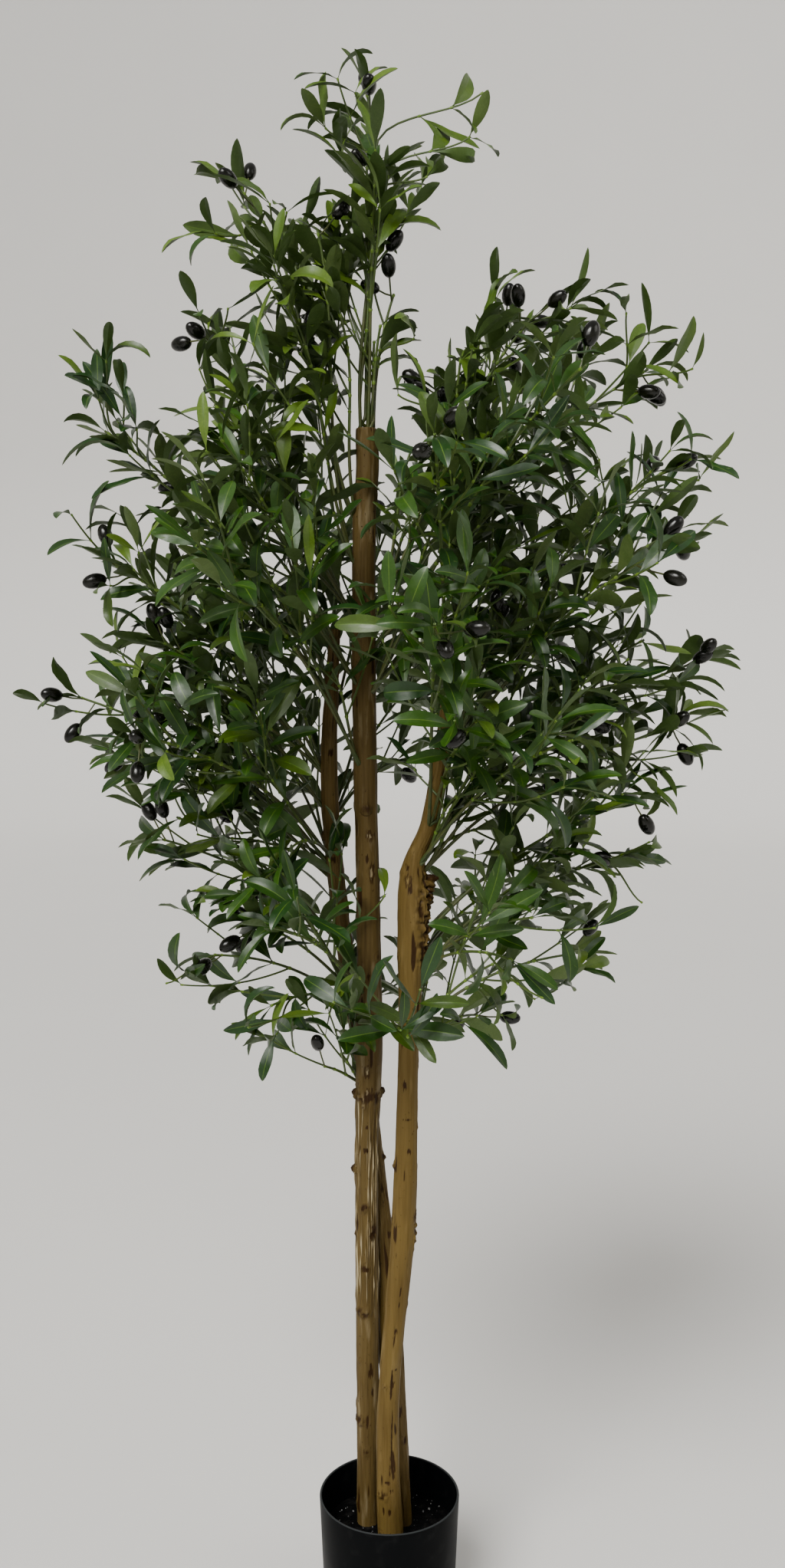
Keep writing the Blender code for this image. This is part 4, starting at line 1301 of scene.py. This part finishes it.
def out_of_top(spray):
    """Whether a spray rises out of its pole's sawn top."""
    return spray["height"] >= pole_top(spray["pole"])


def aside_from(heading, roll):
    """A unit vector square to the heading, turned about it."""
    side = heading.cross(UP)
    if side.length < 0.05:
        side = Vector((1.0, 0.0, 0.0))
    side = (side - heading * side.dot(heading)).normalized()
    return side * math.cos(roll) + heading.cross(side) * math.sin(roll)


def tilted(heading, side, spread):
    """The heading turned towards a side by the spread."""
    return (heading * math.cos(spread) + side * math.sin(spread)).normalized()


def in_opening(point):
    """Whether a point hangs before or behind one of the crown's open places."""
    share = VIEWER.y / (VIEWER.y - point.y)
    across = VIEWER.x + (point.x - VIEWER.x) * share
    level = VIEWER.z + (point.z - VIEWER.z) * share
    return any(
        math.hypot((across - x) / wide, (level - height) / tall) < 1.0
        for x, height, wide, tall in OPENINGS
    )


def slack_at(point, slack):
    """How far past the crown's outline a point may reach: a little more at its thin top."""
    return TOP_SLACK if point.z > TOP_FROM else slack


def length_of(course):
    """A course's length."""
    return sum((after - before).length for before, after in zip(course, course[1:]))


def plugged_in(course, spray, aside):
    """A course begun in its hole, beside the other stem there."""
    mouth, inward = drill(spray)
    eased = [point + aside * (1.0 - min(step / LAUNCH_POINTS, 1.0)) for step, point in enumerate(course)]
    foot = mouth + inward * HOLE_DEPTH * PLUGGED + aside
    return [foot, mouth + inward * MOUTH_DEPTH + aside] + eased[2:]


def leafed_end(course):
    """Whether a shoot's end and the leaf past it keep out of the crown's open places."""
    past = course[-1] + (course[-1] - course[-2]).normalized() * END_LEAF_REACH
    return not in_opening(course[-1]) and not in_opening(past)


def cut_back(course):
    """A stem cut back to where a leaf can stand on its end."""
    course = list(course)
    while len(course) > SHORTEST_STEM and not leafed_end(course):
        course.pop()
    return course


def shorter_course(spray, share, draw):
    """A stem from the same hole that ends short of the first one's tip and off to a side of it."""
    start, tip = spray["smooth"][0], spray["tip"]
    aside = aside_from((tip - start).normalized(), draw.uniform(0.0, math.tau))
    tip = start + (tip - start) * share + aside * draw.uniform(*STEM_SWING)
    course = stem_course(spray["pole"], spray["height"], tip)
    free = within_crown(tip, SHORTER_SLACK) and clear_of_poles(course[LAUNCH_POINTS:], POLE_CLEAR)
    return course if free else None


def make_stems():
    """Every spray's stems: one to its tip, and one or two shorter ones from the same hole."""
    stems = []
    for number, spray in enumerate(sprays):
        draw = random.Random(TWIG_SEED + number)
        inward = drill(spray)[1]
        roll = draw.uniform(0.0, math.tau)
        courses = [spray["smooth"]]
        middling = TWO_STEMS[0] < spray["tip"].z < TWO_STEMS[1] or out_of_top(spray)
        for reaches in (SECOND_REACH, INNER_REACH)[:1 if middling else 2]:
            for attempt in range(SHORTER_TRIES):
                share = reaches[(number + attempt // TRIES_A_REACH) % len(reaches)]
                course = shorter_course(spray, share, draw)
                if course:
                    courses.append(course)
                    break
        for turn, course in enumerate(courses):
            aside = aside_from(inward, roll + math.tau * turn / len(courses)) * STEM_ASIDE
            course = plugged_in(cut_back(course), spray, aside)
            stems.append({"spray": spray, "draw": draw, "first": turn == 0, "course": course})
    return stems


def twig_course(root, heading, towards, length):
    """A twig that leaves its stem at an angle and turns back along it and up."""
    final = (towards + heading * TWIG_ALONG + UP * TWIG_LIFT).normalized()
    course = [root]
    for step in range(TWIG_STEPS):
        share = (step + 0.5) / TWIG_STEPS
        course.append(course[-1] + towards.lerp(final, share).normalized() * (length / TWIG_STEPS))
    return course


def grow_twigs(stem):
    """Twigs in golden turns along a stem, turned on or left out where the way is not clear."""
    draw = stem["draw"]
    span = TWIG_SPAN[1] - TWIG_SPAN[0]
    every = TWIG_EVERY * (TOP_SPARSER if out_of_top(stem["spray"]) else 1.0)
    count = max(2, round(length_of(stem["course"]) * span / every))
    start_roll = draw.uniform(0.0, math.tau)
    twigs = []
    for number in range(count):
        share = (number + 0.5) / count
        along = TWIG_SPAN[0] + span * share
        length = TWIG_LENGTHS[0] + (TWIG_LENGTHS[1] - TWIG_LENGTHS[0]) * share
        length *= draw.uniform(*TWIG_VARIES)
        root, heading = on_course(stem["course"], along)
        for turn in range(TURNS_TRIED):
            roll = start_roll + GOLDEN_TURN * number + math.tau * turn / TURNS_TRIED
            towards = tilted(heading, aside_from(heading, roll), math.radians(draw.uniform(*TWIG_SPREAD)))
            course = twig_course(root, heading, towards, length)
            if not leafed_end(course) or not within_crown(course[-1], slack_at(course[-1], TWIG_SLACK)):
                continue
            if clear_of_poles(course[2:], TWIG_POLE_CLEAR):
                twigs.append({"course": course, "along": along, "nodes": node_places(course, TWIG_BARE)})
                break
    return twigs


def grow_tuft(tip):
    """A twig to a named tip, from the nearest stem that heads that way."""
    best = None
    for stem in stems:
        for along in TUFT_ROOTS:
            root, heading = on_course(stem["course"], along)
            reach = tip - root
            length = reach.length
            if not TUFT_REACH[0] < length < TUFT_REACH[1] or heading.dot(reach) < TUFT_TURN * length:
                continue
            if best and length > best[0]:
                continue
            final = (reach.normalized() + UP * TWIG_LIFT).normalized()
            near = root + heading * length * TUFT_HANDLES[0]
            far = tip - final * length * TUFT_HANDLES[1]
            course = curved(root, near, far, tip, TWIG_STEPS)
            if clear_of_poles(course[2:], TWIG_POLE_CLEAR):
                best = (length, stem, along, course)
    if best:
        _, stem, along, course = best
        stem["twigs"].append({"course": course, "along": along, "nodes": node_places(course, TWIG_BARE)})


def node_places(course, bare):
    """Where leaf pairs sit along a shoot past its bare stretch."""
    count = max(1, round(length_of(course) * (LAST_NODE - bare) / NODE_STEP))
    return [LAST_NODE - (LAST_NODE - bare) * step / count for step in range(count)]


def rings_along(course, radii, nodes):
    """A shoot's rings, each a centre, a heading, a radius and whether it is a swollen node."""
    length = length_of(course)
    swell = NODE_LENGTH / length
    places = [(step / (len(course) - 1), False) for step in range(len(course))]
    for along in nodes:
        places += [(along - swell, False), (along, True), (along + swell, False)]
    kept = []
    for along, swollen in sorted(places):
        if along > 1.0:
            continue
        if kept and along - kept[-1][0] < NODE_LENGTH * RINGS_APART / length:
            kept[-1] = (along, True) if swollen else kept[-1]
            continue
        kept.append((along, swollen))
    rings = []
    for along, swollen in kept:
        point, heading = on_course(course, along)
        radius = radii[0] + (radii[1] - radii[0]) * along
        rings.append((point, heading, radius * (NODE_SWELL if swollen else 1.0), swollen))
    return rings


def swept(rings, sides):
    """A closed tube through rings: its corners, its faces, and which of them touch a node."""
    corners, faces, bright = [], [], []
    side = rings[0][1].orthogonal().normalized()
    for point, heading, radius, _ in rings:
        side = (side - heading * side.dot(heading)).normalized()
        front = heading.cross(side)
        for step in range(sides):
            turn = math.tau * step / sides
            corners.append(point + (side * math.cos(turn) + front * math.sin(turn)) * radius)
    for ring in range(len(rings) - 1):
        low = ring * sides
        for step in range(sides):
            after = (step + 1) % sides
            faces.append((low + step, low + after, low + sides + after, low + sides + step))
            bright.append(rings[ring][3] or rings[ring + 1][3])
    faces += [tuple(reversed(range(sides))), tuple(range((len(rings) - 1) * sides, len(rings) * sides))]
    return corners, faces, bright + [False, True]


def gathered(name, parts, finishes, nodes=(), sharp=35.0):
    """Many small shapes joined into one piece. A part is its corners, faces and their finishes."""
    corners, faces, numbers = [], [], []
    count = 0
    for part_corners, part_faces, part_numbers in parts:
        corners.append(np.array(part_corners))
        faces.extend(tuple(count + corner for corner in face) for face in part_faces)
        numbers.extend(part_numbers)
        count += len(part_corners)
    mesh = bpy.data.meshes.new(name)
    mesh.from_pydata(np.concatenate(corners).tolist(), [], faces)
    mesh.polygons.foreach_set("material_index", numbers)
    return piece_from(name, mesh, finishes, nodes, sharp)


def stem_plastic(name, colour, other, gloss):
    """Moulded stem plastic, mottled with a second shade, with the drag lines of its mould."""
    finish = plastic_finish(name, colour, gloss)
    colour_by(finish, blended(finish, ranged(finish, mottle(finish, 60.0, 4.0), 0.4, 0.6), colour, other))
    relief_by(finish, mottle(finish, 900.0, 2.0), 0.00015, 0.5)
    return finish


STEM_FINISHES = [
    stem_plastic("stem_brown_green", (0.036, 0.058, 0.008), (0.058, 0.066, 0.011), 0.5),
    stem_plastic("stem_green", (0.038, 0.072, 0.006), (0.056, 0.090, 0.009), 0.45),
    stem_plastic("stem_node_green", (0.088, 0.165, 0.009), (0.115, 0.195, 0.014), 0.42),
]
# The bare part of a stem takes the first finish. The rest of it and its nodes take these two.
SHOOT_GREEN, NODE_GREEN = 1, 2


def make_stem_pieces():
    """The stems and twigs of each side of the crown, joined into one piece a side."""
    for side in SIDES_OF_CROWN:
        parts = []
        for stem in [stem for stem in stems if side_of(stem["spray"]["name"]) == side]:
            junctions = [twig["along"] for twig in stem["twigs"]]
            rings = rings_along(stem["course"], STEM_RADII, stem["nodes"] + junctions)
            corners, faces, bright = swept(rings, STEM_SIDES)
            bare = len(faces) * STEM_BARE
            numbers = [NODE_GREEN if b else int(n > bare) for n, b in enumerate(bright)]
            parts.append((corners, faces, numbers))
            for twig in stem["twigs"]:
                rings = rings_along(twig["course"], TWIG_RADII, twig["nodes"])
                corners, faces, bright = swept(rings, TWIG_SIDES)
                parts.append((corners, faces, [NODE_GREEN if b else SHOOT_GREEN for b in bright]))
        gathered(f"stems_{side}", parts, STEM_FINISHES, sharp=50.0)


stems = make_stems()
for stem in stems:
    stem["nodes"] = node_places(stem["course"], STEM_BARE)
    stem["twigs"] = grow_twigs(stem)
for x, height in TUFTS:
    grow_tuft(Vector((x, TUFT_BACK, height)))
make_stem_pieces()


# ---- Leaves ----
# Thin moulded leaves, in opposite pairs that turn from node to node, and one at every end.
# Each is a lance-shaped blade on a short stalk, folded along a pale midrib and bent over.

LEAF_LENGTHS = (0.060, 0.086)
LEAF_WIDTHS = (0.0150, 0.0225)
END_LEAF_WIDTH = 0.78
LEAF_SPREAD = (34.0, 58.0)
END_LEAF_SPREAD = (0.0, 16.0)
LEAF_ROLL = 40.0
LEAF_UPWARD = 0.45
LEAF_THICKNESS = 0.007
LEAF_ASPECT = 0.25
RIB_WIDTH = 0.055
RIB_THICKNESS = 0.014
LEAF_POLE_CLEAR = 0.004
LEAF_TRIES = 4
LEAF_TURN = 0.8
LEAF_SLACK = 1.04
OUTER_PAIR_SIZE = 0.86
END_LEAF_SIZE = 0.9
PAIR_WANDER = 0.35
BEND_GAIN = 1.2
EDGE_WAVES = 1.5
VEIN_PALE = 1.7
# A leaf's width from its stalk to its blunt tip: share of its length and share of its width.
LEAF_OUTLINE = (
    (0.00, 0.00),
    (0.01, 0.08),
    (0.10, 0.09),
    (0.23, 0.42),
    (0.37, 0.76),
    (0.50, 0.94),
    (0.63, 1.00),
    (0.76, 0.90),
    (0.88, 0.63),
    (0.96, 0.30),
    (1.00, 0.00),
)
TOP_COLUMNS = (-1.0, -0.52, -RIB_WIDTH, RIB_WIDTH, 0.52, 1.0)
UNDER_COLUMNS = (-1.0, 0.0, 1.0)
BEND_STEPS = 20
# Bend from root to tip, sideways sweep, fold of each half, wave of the edge, and share of leaves.
LEAF_MOULDS = (
    (12.0, 0.03, 13.0, 0.00, 4),
    (26.0, -0.05, 17.0, 0.02, 5),
    (42.0, 0.04, 20.0, 0.00, 5),
    (58.0, -0.03, 15.0, 0.03, 4),
    (80.0, 0.05, 24.0, 0.00, 2),
    (-14.0, -0.04, 18.0, 0.02, 2),
    (34.0, 0.10, 11.0, 0.04, 3),
    (105.0, -0.02, 28.0, 0.00, 1),
)
# A leaf's upper side takes one of the first six finishes, of which the last is for young leaves and for
# painted light on odd leaves at the crown's top.
YOUNG = 5
RIB, UNDER, UNDER_PALE = 6, 7, 8
# The shades that a spray draws its own from, by the height of its tip or on the front side,
# and those of its odd leaves, lower down and at the crown's top. They are painted light: the
# greens get lighter towards the top as if lit from above, and darker low down and on the front.
PAINTED_LIGHT_BY_HEIGHT = (
    (0.00, (0, 0, 1, 2, 3)),
    (1.34, (0, 1, 2, 3)),
    (1.58, (2, 3, 3, 4)),
    (1.70, (3, 4, 4)),
)
# Dark greens for the front side: painted shade where the key light falls full on it.
FRONT_PAINTED_SHADE = (0, 0, 1, 2)
ODD_SHADES = (0, 1, 2, 3)
ODD_TOP_PAINTED_LIGHT = (2, 3, 4, 5)
OWN_SHADE_ODDS = 0.70
# The front side takes hardly any young leaves, which keeps it dark as painted shade.
YOUNG_ODDS = {"left": 0.22, "right": 0.22, "top": 0.24, "front": 0.04, "back": 0.22}
PALE_UNDER_ODDS = 0.30
LEAF_SHINE = 0.40


def blade_width(along):
    """Half a leaf's width at a share of its length, for a full width of one."""
    return float(np.interp(along, *zip(*LEAF_OUTLINE))) / 2


def blade_point(mould, along, across, side):
    """A point on a leaf of unit length: across from -1 to 1, side 1 on top and -1 below."""
    bend, sweep, fold, wave, _ = mould
    height = back = 0.0
    for step in range(BEND_STEPS):
        angle = math.radians(bend) * (along * (step + 0.5) / BEND_STEPS) ** BEND_GAIN
        height += math.cos(angle) * along / BEND_STEPS
        back += math.sin(angle) * along / BEND_STEPS
    lean = math.radians(bend) * along ** BEND_GAIN
    half = blade_width(along)
    thick = 0.0
    if half > 0.0 and abs(across) < 1.0:
        thick = side * (RIB_THICKNESS if abs(across) <= RIB_WIDTH else LEAF_THICKNESS) / 2
    rise = abs(across) * half * LEAF_ASPECT * math.tan(math.radians(fold)) + thick
    rise += wave * math.sin(math.tau * EDGE_WAVES * along) * abs(across) * half * 2
    return Vector((
        across * half + sweep / LEAF_ASPECT * along ** 2,
        rise * math.cos(lean) - back,
        height + rise * math.sin(lean),
    ))


def leaf_mould(mould):
    """A leaf of unit length and width along +Z, its upper side to +Y: corners, faces, finishes."""
    shape = bmesh.new()
    rows = len(LEAF_OUTLINE) - 1
    for columns, side in ((TOP_COLUMNS, 1), (UNDER_COLUMNS, -1)):
        strips = len(columns) - 1
        made = bmesh.ops.create_grid(shape, x_segments=strips, y_segments=rows, size=0.5)["verts"]
        for face in {face for corner in made for face in corner.link_faces}:
            on_rib = abs(face.calc_center_median().x) < 0.5 / strips
            face.material_index = UNDER if side < 0 else (RIB if on_rib else 0)
        for corner in made:
            along = LEAF_OUTLINE[round((corner.co.y + 0.5) * rows)][0]
            across = columns[round((corner.co.x + 0.5) * strips)]
            corner.co = blade_point(mould, along, across, side)
    bmesh.ops.remove_doubles(shape, verts=shape.verts, dist=0.00005)
    bmesh.ops.recalc_face_normals(shape, faces=shape.faces)
    shape.verts.index_update()
    corners = np.array([corner.co for corner in shape.verts])
    faces = [tuple(corner.index for corner in face.verts) for face in shape.faces]
    numbers = [face.material_index for face in shape.faces]
    shape.free()
    return corners, faces, numbers


def leaf_frame(shoot, roll, spread, draw):
    """A leaf's heading and the way its upper side faces: in towards its shoot, and up."""
    heading = tilted(shoot, aside_from(shoot, roll), math.radians(spread))
    face = shoot + UP * LEAF_UPWARD
    face = (face - heading * face.dot(heading)).normalized()
    turn = math.radians(draw.uniform(-LEAF_ROLL, LEAF_ROLL))
    return heading, face * math.cos(turn) + heading.cross(face) * math.sin(turn)


def leaves_on(course, nodes, draw):
    """The leaves of one shoot: a pair at each node, each turned from the last, and the end one."""
    sites = []
    roll = draw.uniform(0.0, math.tau)
    for number, along in enumerate(nodes):
        root, shoot = on_course(course, along)
        size = 1.0 if number else OUTER_PAIR_SIZE
        for side in (0.0, math.pi):
            sites.append((root, shoot, roll + side, LEAF_SPREAD, size, number == 0))
        roll += math.pi / 2 + draw.uniform(-PAIR_WANDER, PAIR_WANDER)
    root, shoot = on_course(course, 1.0)
    sites.append((root, shoot, roll, END_LEAF_SPREAD, END_LEAF_SIZE, True))
    leaves = []
    for root, shoot, roll, spread, size, outer in sites:
        length = draw.uniform(*LEAF_LENGTHS) * size
        for attempt in range(LEAF_TRIES):
            heading, face = leaf_frame(shoot, roll + attempt * LEAF_TURN, draw.uniform(*spread), draw)
            tip = root + heading * length
            middle = root.lerp(tip, 0.5)
            open_sky = in_opening(middle) or in_opening(tip)
            held = within_crown(tip, slack_at(tip, LEAF_SLACK))
            if held and not open_sky and clear_of_poles([middle, tip], LEAF_POLE_CLEAR):
                width = draw.uniform(*LEAF_WIDTHS) * (END_LEAF_WIDTH if outer else 1.0)
                leaves.append((root, heading, face, length, width, outer))
                break
    return leaves


def leaf_parts(stem, moulds):
    """The leaves of one stem and its twigs, as parts for one piece."""
    draw = stem["draw"]
    side = side_of(stem["spray"]["name"])
    # Painted light: a spray's greens are lighter the higher its tip stands, and darker on the front side.
    level, shades = [row for row in PAINTED_LIGHT_BY_HEIGHT if row[0] < stem["spray"]["tip"].z][-1]
    own = draw.choice(FRONT_PAINTED_SHADE if side == "front" else shades)
    odd = ODD_TOP_PAINTED_LIGHT if level == PAINTED_LIGHT_BY_HEIGHT[-1][0] else ODD_SHADES
    leaves = leaves_on(stem["course"], stem["nodes"], draw)
    for twig in stem["twigs"]:
        leaves += leaves_on(twig["course"], twig["nodes"], draw)
    parts = []
    for root, heading, face, length, width, outer in leaves:
        corners, faces, numbers = draw.choices(moulds, [mould[-1] for mould in LEAF_MOULDS])[0]
        across = face.cross(heading)
        frame_of_leaf = np.array([across * width, face * length, heading * length])
        upper = own if draw.random() < OWN_SHADE_ODDS else draw.choice(odd)
        if outer and draw.random() < YOUNG_ODDS[side]:
            upper = YOUNG
        under = UNDER_PALE if draw.random() < PALE_UNDER_ODDS else UNDER
        kinds = {0: upper, RIB: RIB, UNDER: under}
        parts.append((corners @ frame_of_leaf + np.array(root), faces, [kinds[n] for n in numbers]))
    return parts


def leaf_plastic(name, colour, other, gloss):
    """Satin leaf plastic: printed green that drifts in shade, with a fine pressed grain."""
    finish = plastic_finish(name, colour, gloss, LEAF_SHINE)
    drift = ranged(finish, mottle(finish, 45.0, 3.0), 0.38, 0.62)
    vein = ranged(finish, mottle(finish, 420.0, 3.0), 0.50, 0.75, 0.0, 0.35)
    shade = blended(finish, drift, colour, other)
    colour_by(finish, blended(finish, vein, shade, tuple(c * VEIN_PALE for c in other)))
    gloss_by(finish, mottle(finish, 120.0, 3.0), gloss - 0.06, gloss + 0.08)
    relief_by(finish, mottle(finish, 650.0, 3.0), 0.00012, 0.5)
    return finish


LEAF_FINISHES = [
    leaf_plastic("leaf_deep_green", (0.0092, 0.0335, 0.0018), (0.0130, 0.0430, 0.0025), 0.36),
    leaf_plastic("leaf_blue_green", (0.0078, 0.0315, 0.0040), (0.0116, 0.0410, 0.0056), 0.34),
    leaf_plastic("leaf_mid_green", (0.0155, 0.0520, 0.0018), (0.0220, 0.0640, 0.0026), 0.38),
    leaf_plastic("leaf_olive_green", (0.0290, 0.0610, 0.0028), (0.0390, 0.0750, 0.0040), 0.40),
    leaf_plastic("leaf_light_green", (0.0500, 0.0980, 0.0056), (0.0640, 0.1170, 0.0076), 0.40),
    leaf_plastic("leaf_young_and_top_lit_green", (0.0680, 0.1240, 0.0090), (0.0840, 0.1440, 0.0120), 0.42),
    leaf_plastic("leaf_rib_green", (0.0500, 0.1050, 0.0060), (0.0630, 0.1220, 0.0090), 0.42),
    leaf_plastic("leaf_under_grey_green", (0.0340, 0.0660, 0.0100), (0.0440, 0.0790, 0.0140), 0.52),
    leaf_plastic("leaf_under_pale_green", (0.0580, 0.0970, 0.0190), (0.0720, 0.1140, 0.0250), 0.56),
]


def make_leaf_pieces():
    """The leaves of each side of the crown, joined into one piece a side."""
    moulds = [leaf_mould(mould) for mould in LEAF_MOULDS]
    for side in SIDES_OF_CROWN:
        parts = []
        for stem in [stem for stem in stems if side_of(stem["spray"]["name"]) == side]:
            parts += leaf_parts(stem, moulds)
        replaced = [spray["name"] for spray in sprays if side_of(spray["name"]) == side]
        gathered(f"leaves_{side}", parts, LEAF_FINISHES, replaced, sharp=40.0)


make_leaf_pieces()


# ---- Olives ----
# Hollow plastic olives, glossy black with a hint of green, each pushed on a thin stiff stalk.
# One to three hang at the ends of the outer stems.

OLIVE_LENGTH = 0.029
OLIVE_RADIUS = 0.0089
OLIVE_STEPS = 18
OLIVE_RINGS = 10
OLIVE_VARIES = (0.92, 1.06)
OLIVE_COUNTS = (1, 2, 2, 3)
OLIVE_SLACK = 1.04
OLIVE_SHINE = 0.36
LAST_OLIVE = 0.98
OLIVE_EVERY = 0.04
STALK_LENGTHS = (0.020, 0.036)
STALK_RADIUS = 0.0011
STALK_SPREAD = (30.0, 75.0)
STALK_DROOP = 0.15
STALK_SAG = 0.0012
STALK_PLUG = 0.0015
# How likely a spray's first stem is to bear olives, by side of the crown, and a shorter one.
FRUIT_ODDS = {"left": 0.95, "right": 0.95, "top": 1.00, "front": 0.50, "back": 0.60}
FRUIT_ODDS_INSIDE = 0.22


def olive_part(top, heading, size):
    """An olive that hangs from its top along the heading: plump, and as round at each end."""
    profile = []
    for step in range(OLIVE_RINGS + 1):
        turn = math.pi * step / OLIVE_RINGS
        width = math.sin(turn) * OLIVE_RADIUS * size
        reach = (1.0 - math.cos(turn)) / 2 * OLIVE_LENGTH * size
        profile.append((width, -reach))
    shape = turned(profile, OLIVE_STEPS)
    bmesh.ops.transform(
        shape, verts=shape.verts,
        matrix=Matrix.LocRotScale(top, (-UP).rotation_difference(heading), None),
    )
    shape.verts.index_update()
    corners = np.array([corner.co for corner in shape.verts])
    faces = [tuple(corner.index for corner in face.verts) for face in shape.faces]
    shape.free()
    return corners, faces, [0] * len(faces)


def olive_skin():
    """Glossy black plastic with a green cast and a few dull touches."""
    finish = plastic_finish("olive_black", (0.003, 0.003, 0.002), 0.20, OLIVE_SHINE)
    cast = ranged(finish, mottle(finish, 60.0, 2.0), 0.40, 0.70)
    colour_by(finish, blended(finish, cast, (0.0020, 0.0022, 0.0014), (0.0052, 0.0054, 0.0022)))
    gloss_by(finish, mottle(finish, 60.0, 3.0), 0.17, 0.23)
    return finish


def make_olives():
    """Olives at the ends of the outer stems, on stalks that leave their last nodes."""
    olives, stalks = [], []
    for stem in stems:
        draw = stem["draw"]
        odds = FRUIT_ODDS[side_of(stem["spray"]["name"])] if stem["first"] else FRUIT_ODDS_INSIDE
        if draw.random() > odds:
            continue
        for number in range(draw.choice(OLIVE_COUNTS) if stem["first"] else 1):
            root, shoot = on_course(stem["course"], LAST_OLIVE - OLIVE_EVERY * number)
            for _ in range(TURNS_TRIED):
                spread = math.radians(draw.uniform(*STALK_SPREAD))
                heading = tilted(shoot, aside_from(shoot, draw.uniform(0.0, math.tau)), spread)
                heading = (heading - UP * STALK_DROOP).normalized()
                end = root + heading * draw.uniform(*STALK_LENGTHS)
                bottom = end + heading * OLIVE_LENGTH
                held = within_crown(bottom, slack_at(bottom, OLIVE_SLACK))
                if held and clear_of_poles([bottom], OLIVE_RADIUS):
                    olives.append(olive_part(end, heading, draw.uniform(*OLIVE_VARIES)))
                    middle = root.lerp(end, 0.5) - UP * STALK_SAG
                    course = [root, middle, end + heading * STALK_PLUG]
                    rings = rings_along(course, (STALK_RADIUS, STALK_RADIUS), [])
                    corners, faces, _ = swept(rings, TWIG_SIDES)
                    stalks.append((corners, faces, [0] * len(faces)))
                    break
    gathered("olives", olives, [olive_skin()], sharp=60.0)
    gathered("olive_stalks", stalks, STEM_FINISHES[:1], sharp=50.0)


make_olives()


# ---- Studio ----
# A wide pale floor that sweeps up far off into a pale backdrop all round, a broad soft key
# light from high in front on the left, two ceiling lamps, and a camera at chest height.

SWEEP_RADIUS = 11.0
SWEEP_HEIGHT = 10.0
SWEEP_ROUND = 3.0
SWEEP_STEPS = 96
SWEEP_ROUND_STEPS = 24
KEY_FROM = (-0.45, -0.90, 1.05)
KEY_STRENGTH = 2.8
KEY_SPREAD = 26.0
KEY_COLOUR = (1.0, 0.985, 0.955)
# Place, size, power and colour of each lamp.
LAMPS = {
    "ceiling_front": ((-1.2, -2.1, 3.3), (2.4, 1.6), 60.0, (1.0, 0.985, 0.95)),
    "ceiling_right": ((2.2, -1.0, 3.1), (1.4, 1.4), 14.0, (1.0, 0.985, 0.95)),
}
LAMPS_AIM = (0.0, 0.0, 1.15)
SURROUND_STRENGTH = 0.38
CAMERA_PLACE = (0.004, -1.737, 1.2356)
CAMERA_DOWN = 5.0
CAMERA_LENS = 32.4
CAMERA_SENSOR = 36.0


def paper(name, colour):
    """Matte studio paper with a faint unevenness."""
    finish = plastic_finish(name, colour, 0.9)
    cloud = ranged(finish, mottle(finish, 1.2, 2.0), 0.3, 0.7)
    colour_by(finish, blended(finish, cloud, tuple(c * 0.985 for c in colour), colour))
    return finish


def make_sweep():
    """The floor and the backdrop all round it in one sheet, with a round bend between them."""
    line = [(0.0, 0.0)]
    line += arc((SWEEP_RADIUS - SWEEP_ROUND, SWEEP_ROUND), SWEEP_ROUND, -90.0, 0.0, SWEEP_ROUND_STEPS)
    line += [(SWEEP_RADIUS, SWEEP_HEIGHT)]
    shape = turned(line, SWEEP_STEPS)
    mesh = bpy.data.meshes.new("studio_sweep")
    shape.to_mesh(mesh)
    shape.free()
    mesh.materials.append(paper("studio_paper", (0.76, 0.75, 0.73)))
    mesh.shade_smooth()
    sweep = bpy.data.objects.new("studio_sweep", mesh)
    sweep.visible_shadow = False
    bpy.context.scene.collection.objects.link(sweep)


def lit(name, lamp, place, aim):
    """A lamp at its place, turned to its aim and out of the camera's sight."""
    light = bpy.data.objects.new(name, lamp)
    light.location = place
    light.rotation_euler = (Vector(aim) - Vector(place)).to_track_quat("-Z", "Y").to_euler()
    light.visible_camera = False
    bpy.context.scene.collection.objects.link(light)


def make_lights():
    """The broad key light, the lamps aimed at the crown, and an even pale surround."""
    key = bpy.data.lights.new("key", "SUN")
    key.energy = KEY_STRENGTH
    key.angle = math.radians(KEY_SPREAD)
    key.color = KEY_COLOUR
    lit("key", key, KEY_FROM, (0.0, 0.0, 0.0))
    for name, (place, size, power, colour) in LAMPS.items():
        lamp = bpy.data.lights.new(name, "AREA")
        lamp.shape = "RECTANGLE"
        lamp.size, lamp.size_y = size
        lamp.energy = power
        lamp.color = colour
        lit(name, lamp, place, LAMPS_AIM)
    world = bpy.data.worlds.new("studio_surround")
    world.use_nodes = True
    surround = world.node_tree.nodes["Background"]
    surround.inputs["Color"].default_value = (1.0, 0.99, 0.97, 1.0)
    surround.inputs["Strength"].default_value = SURROUND_STRENGTH
    bpy.context.scene.world = world


def make_camera():
    """The camera, level from side to side."""
    lens = bpy.data.cameras.new("camera")
    lens.lens = CAMERA_LENS
    lens.sensor_width = CAMERA_SENSOR
    camera = bpy.data.objects.new("camera", lens)
    camera.location = CAMERA_PLACE
    camera.rotation_euler = (math.radians(90.0 - CAMERA_DOWN), 0.0, 0.0)
    bpy.context.scene.collection.objects.link(camera)
    bpy.context.scene.camera = camera


make_sweep()
make_lights()
make_camera()
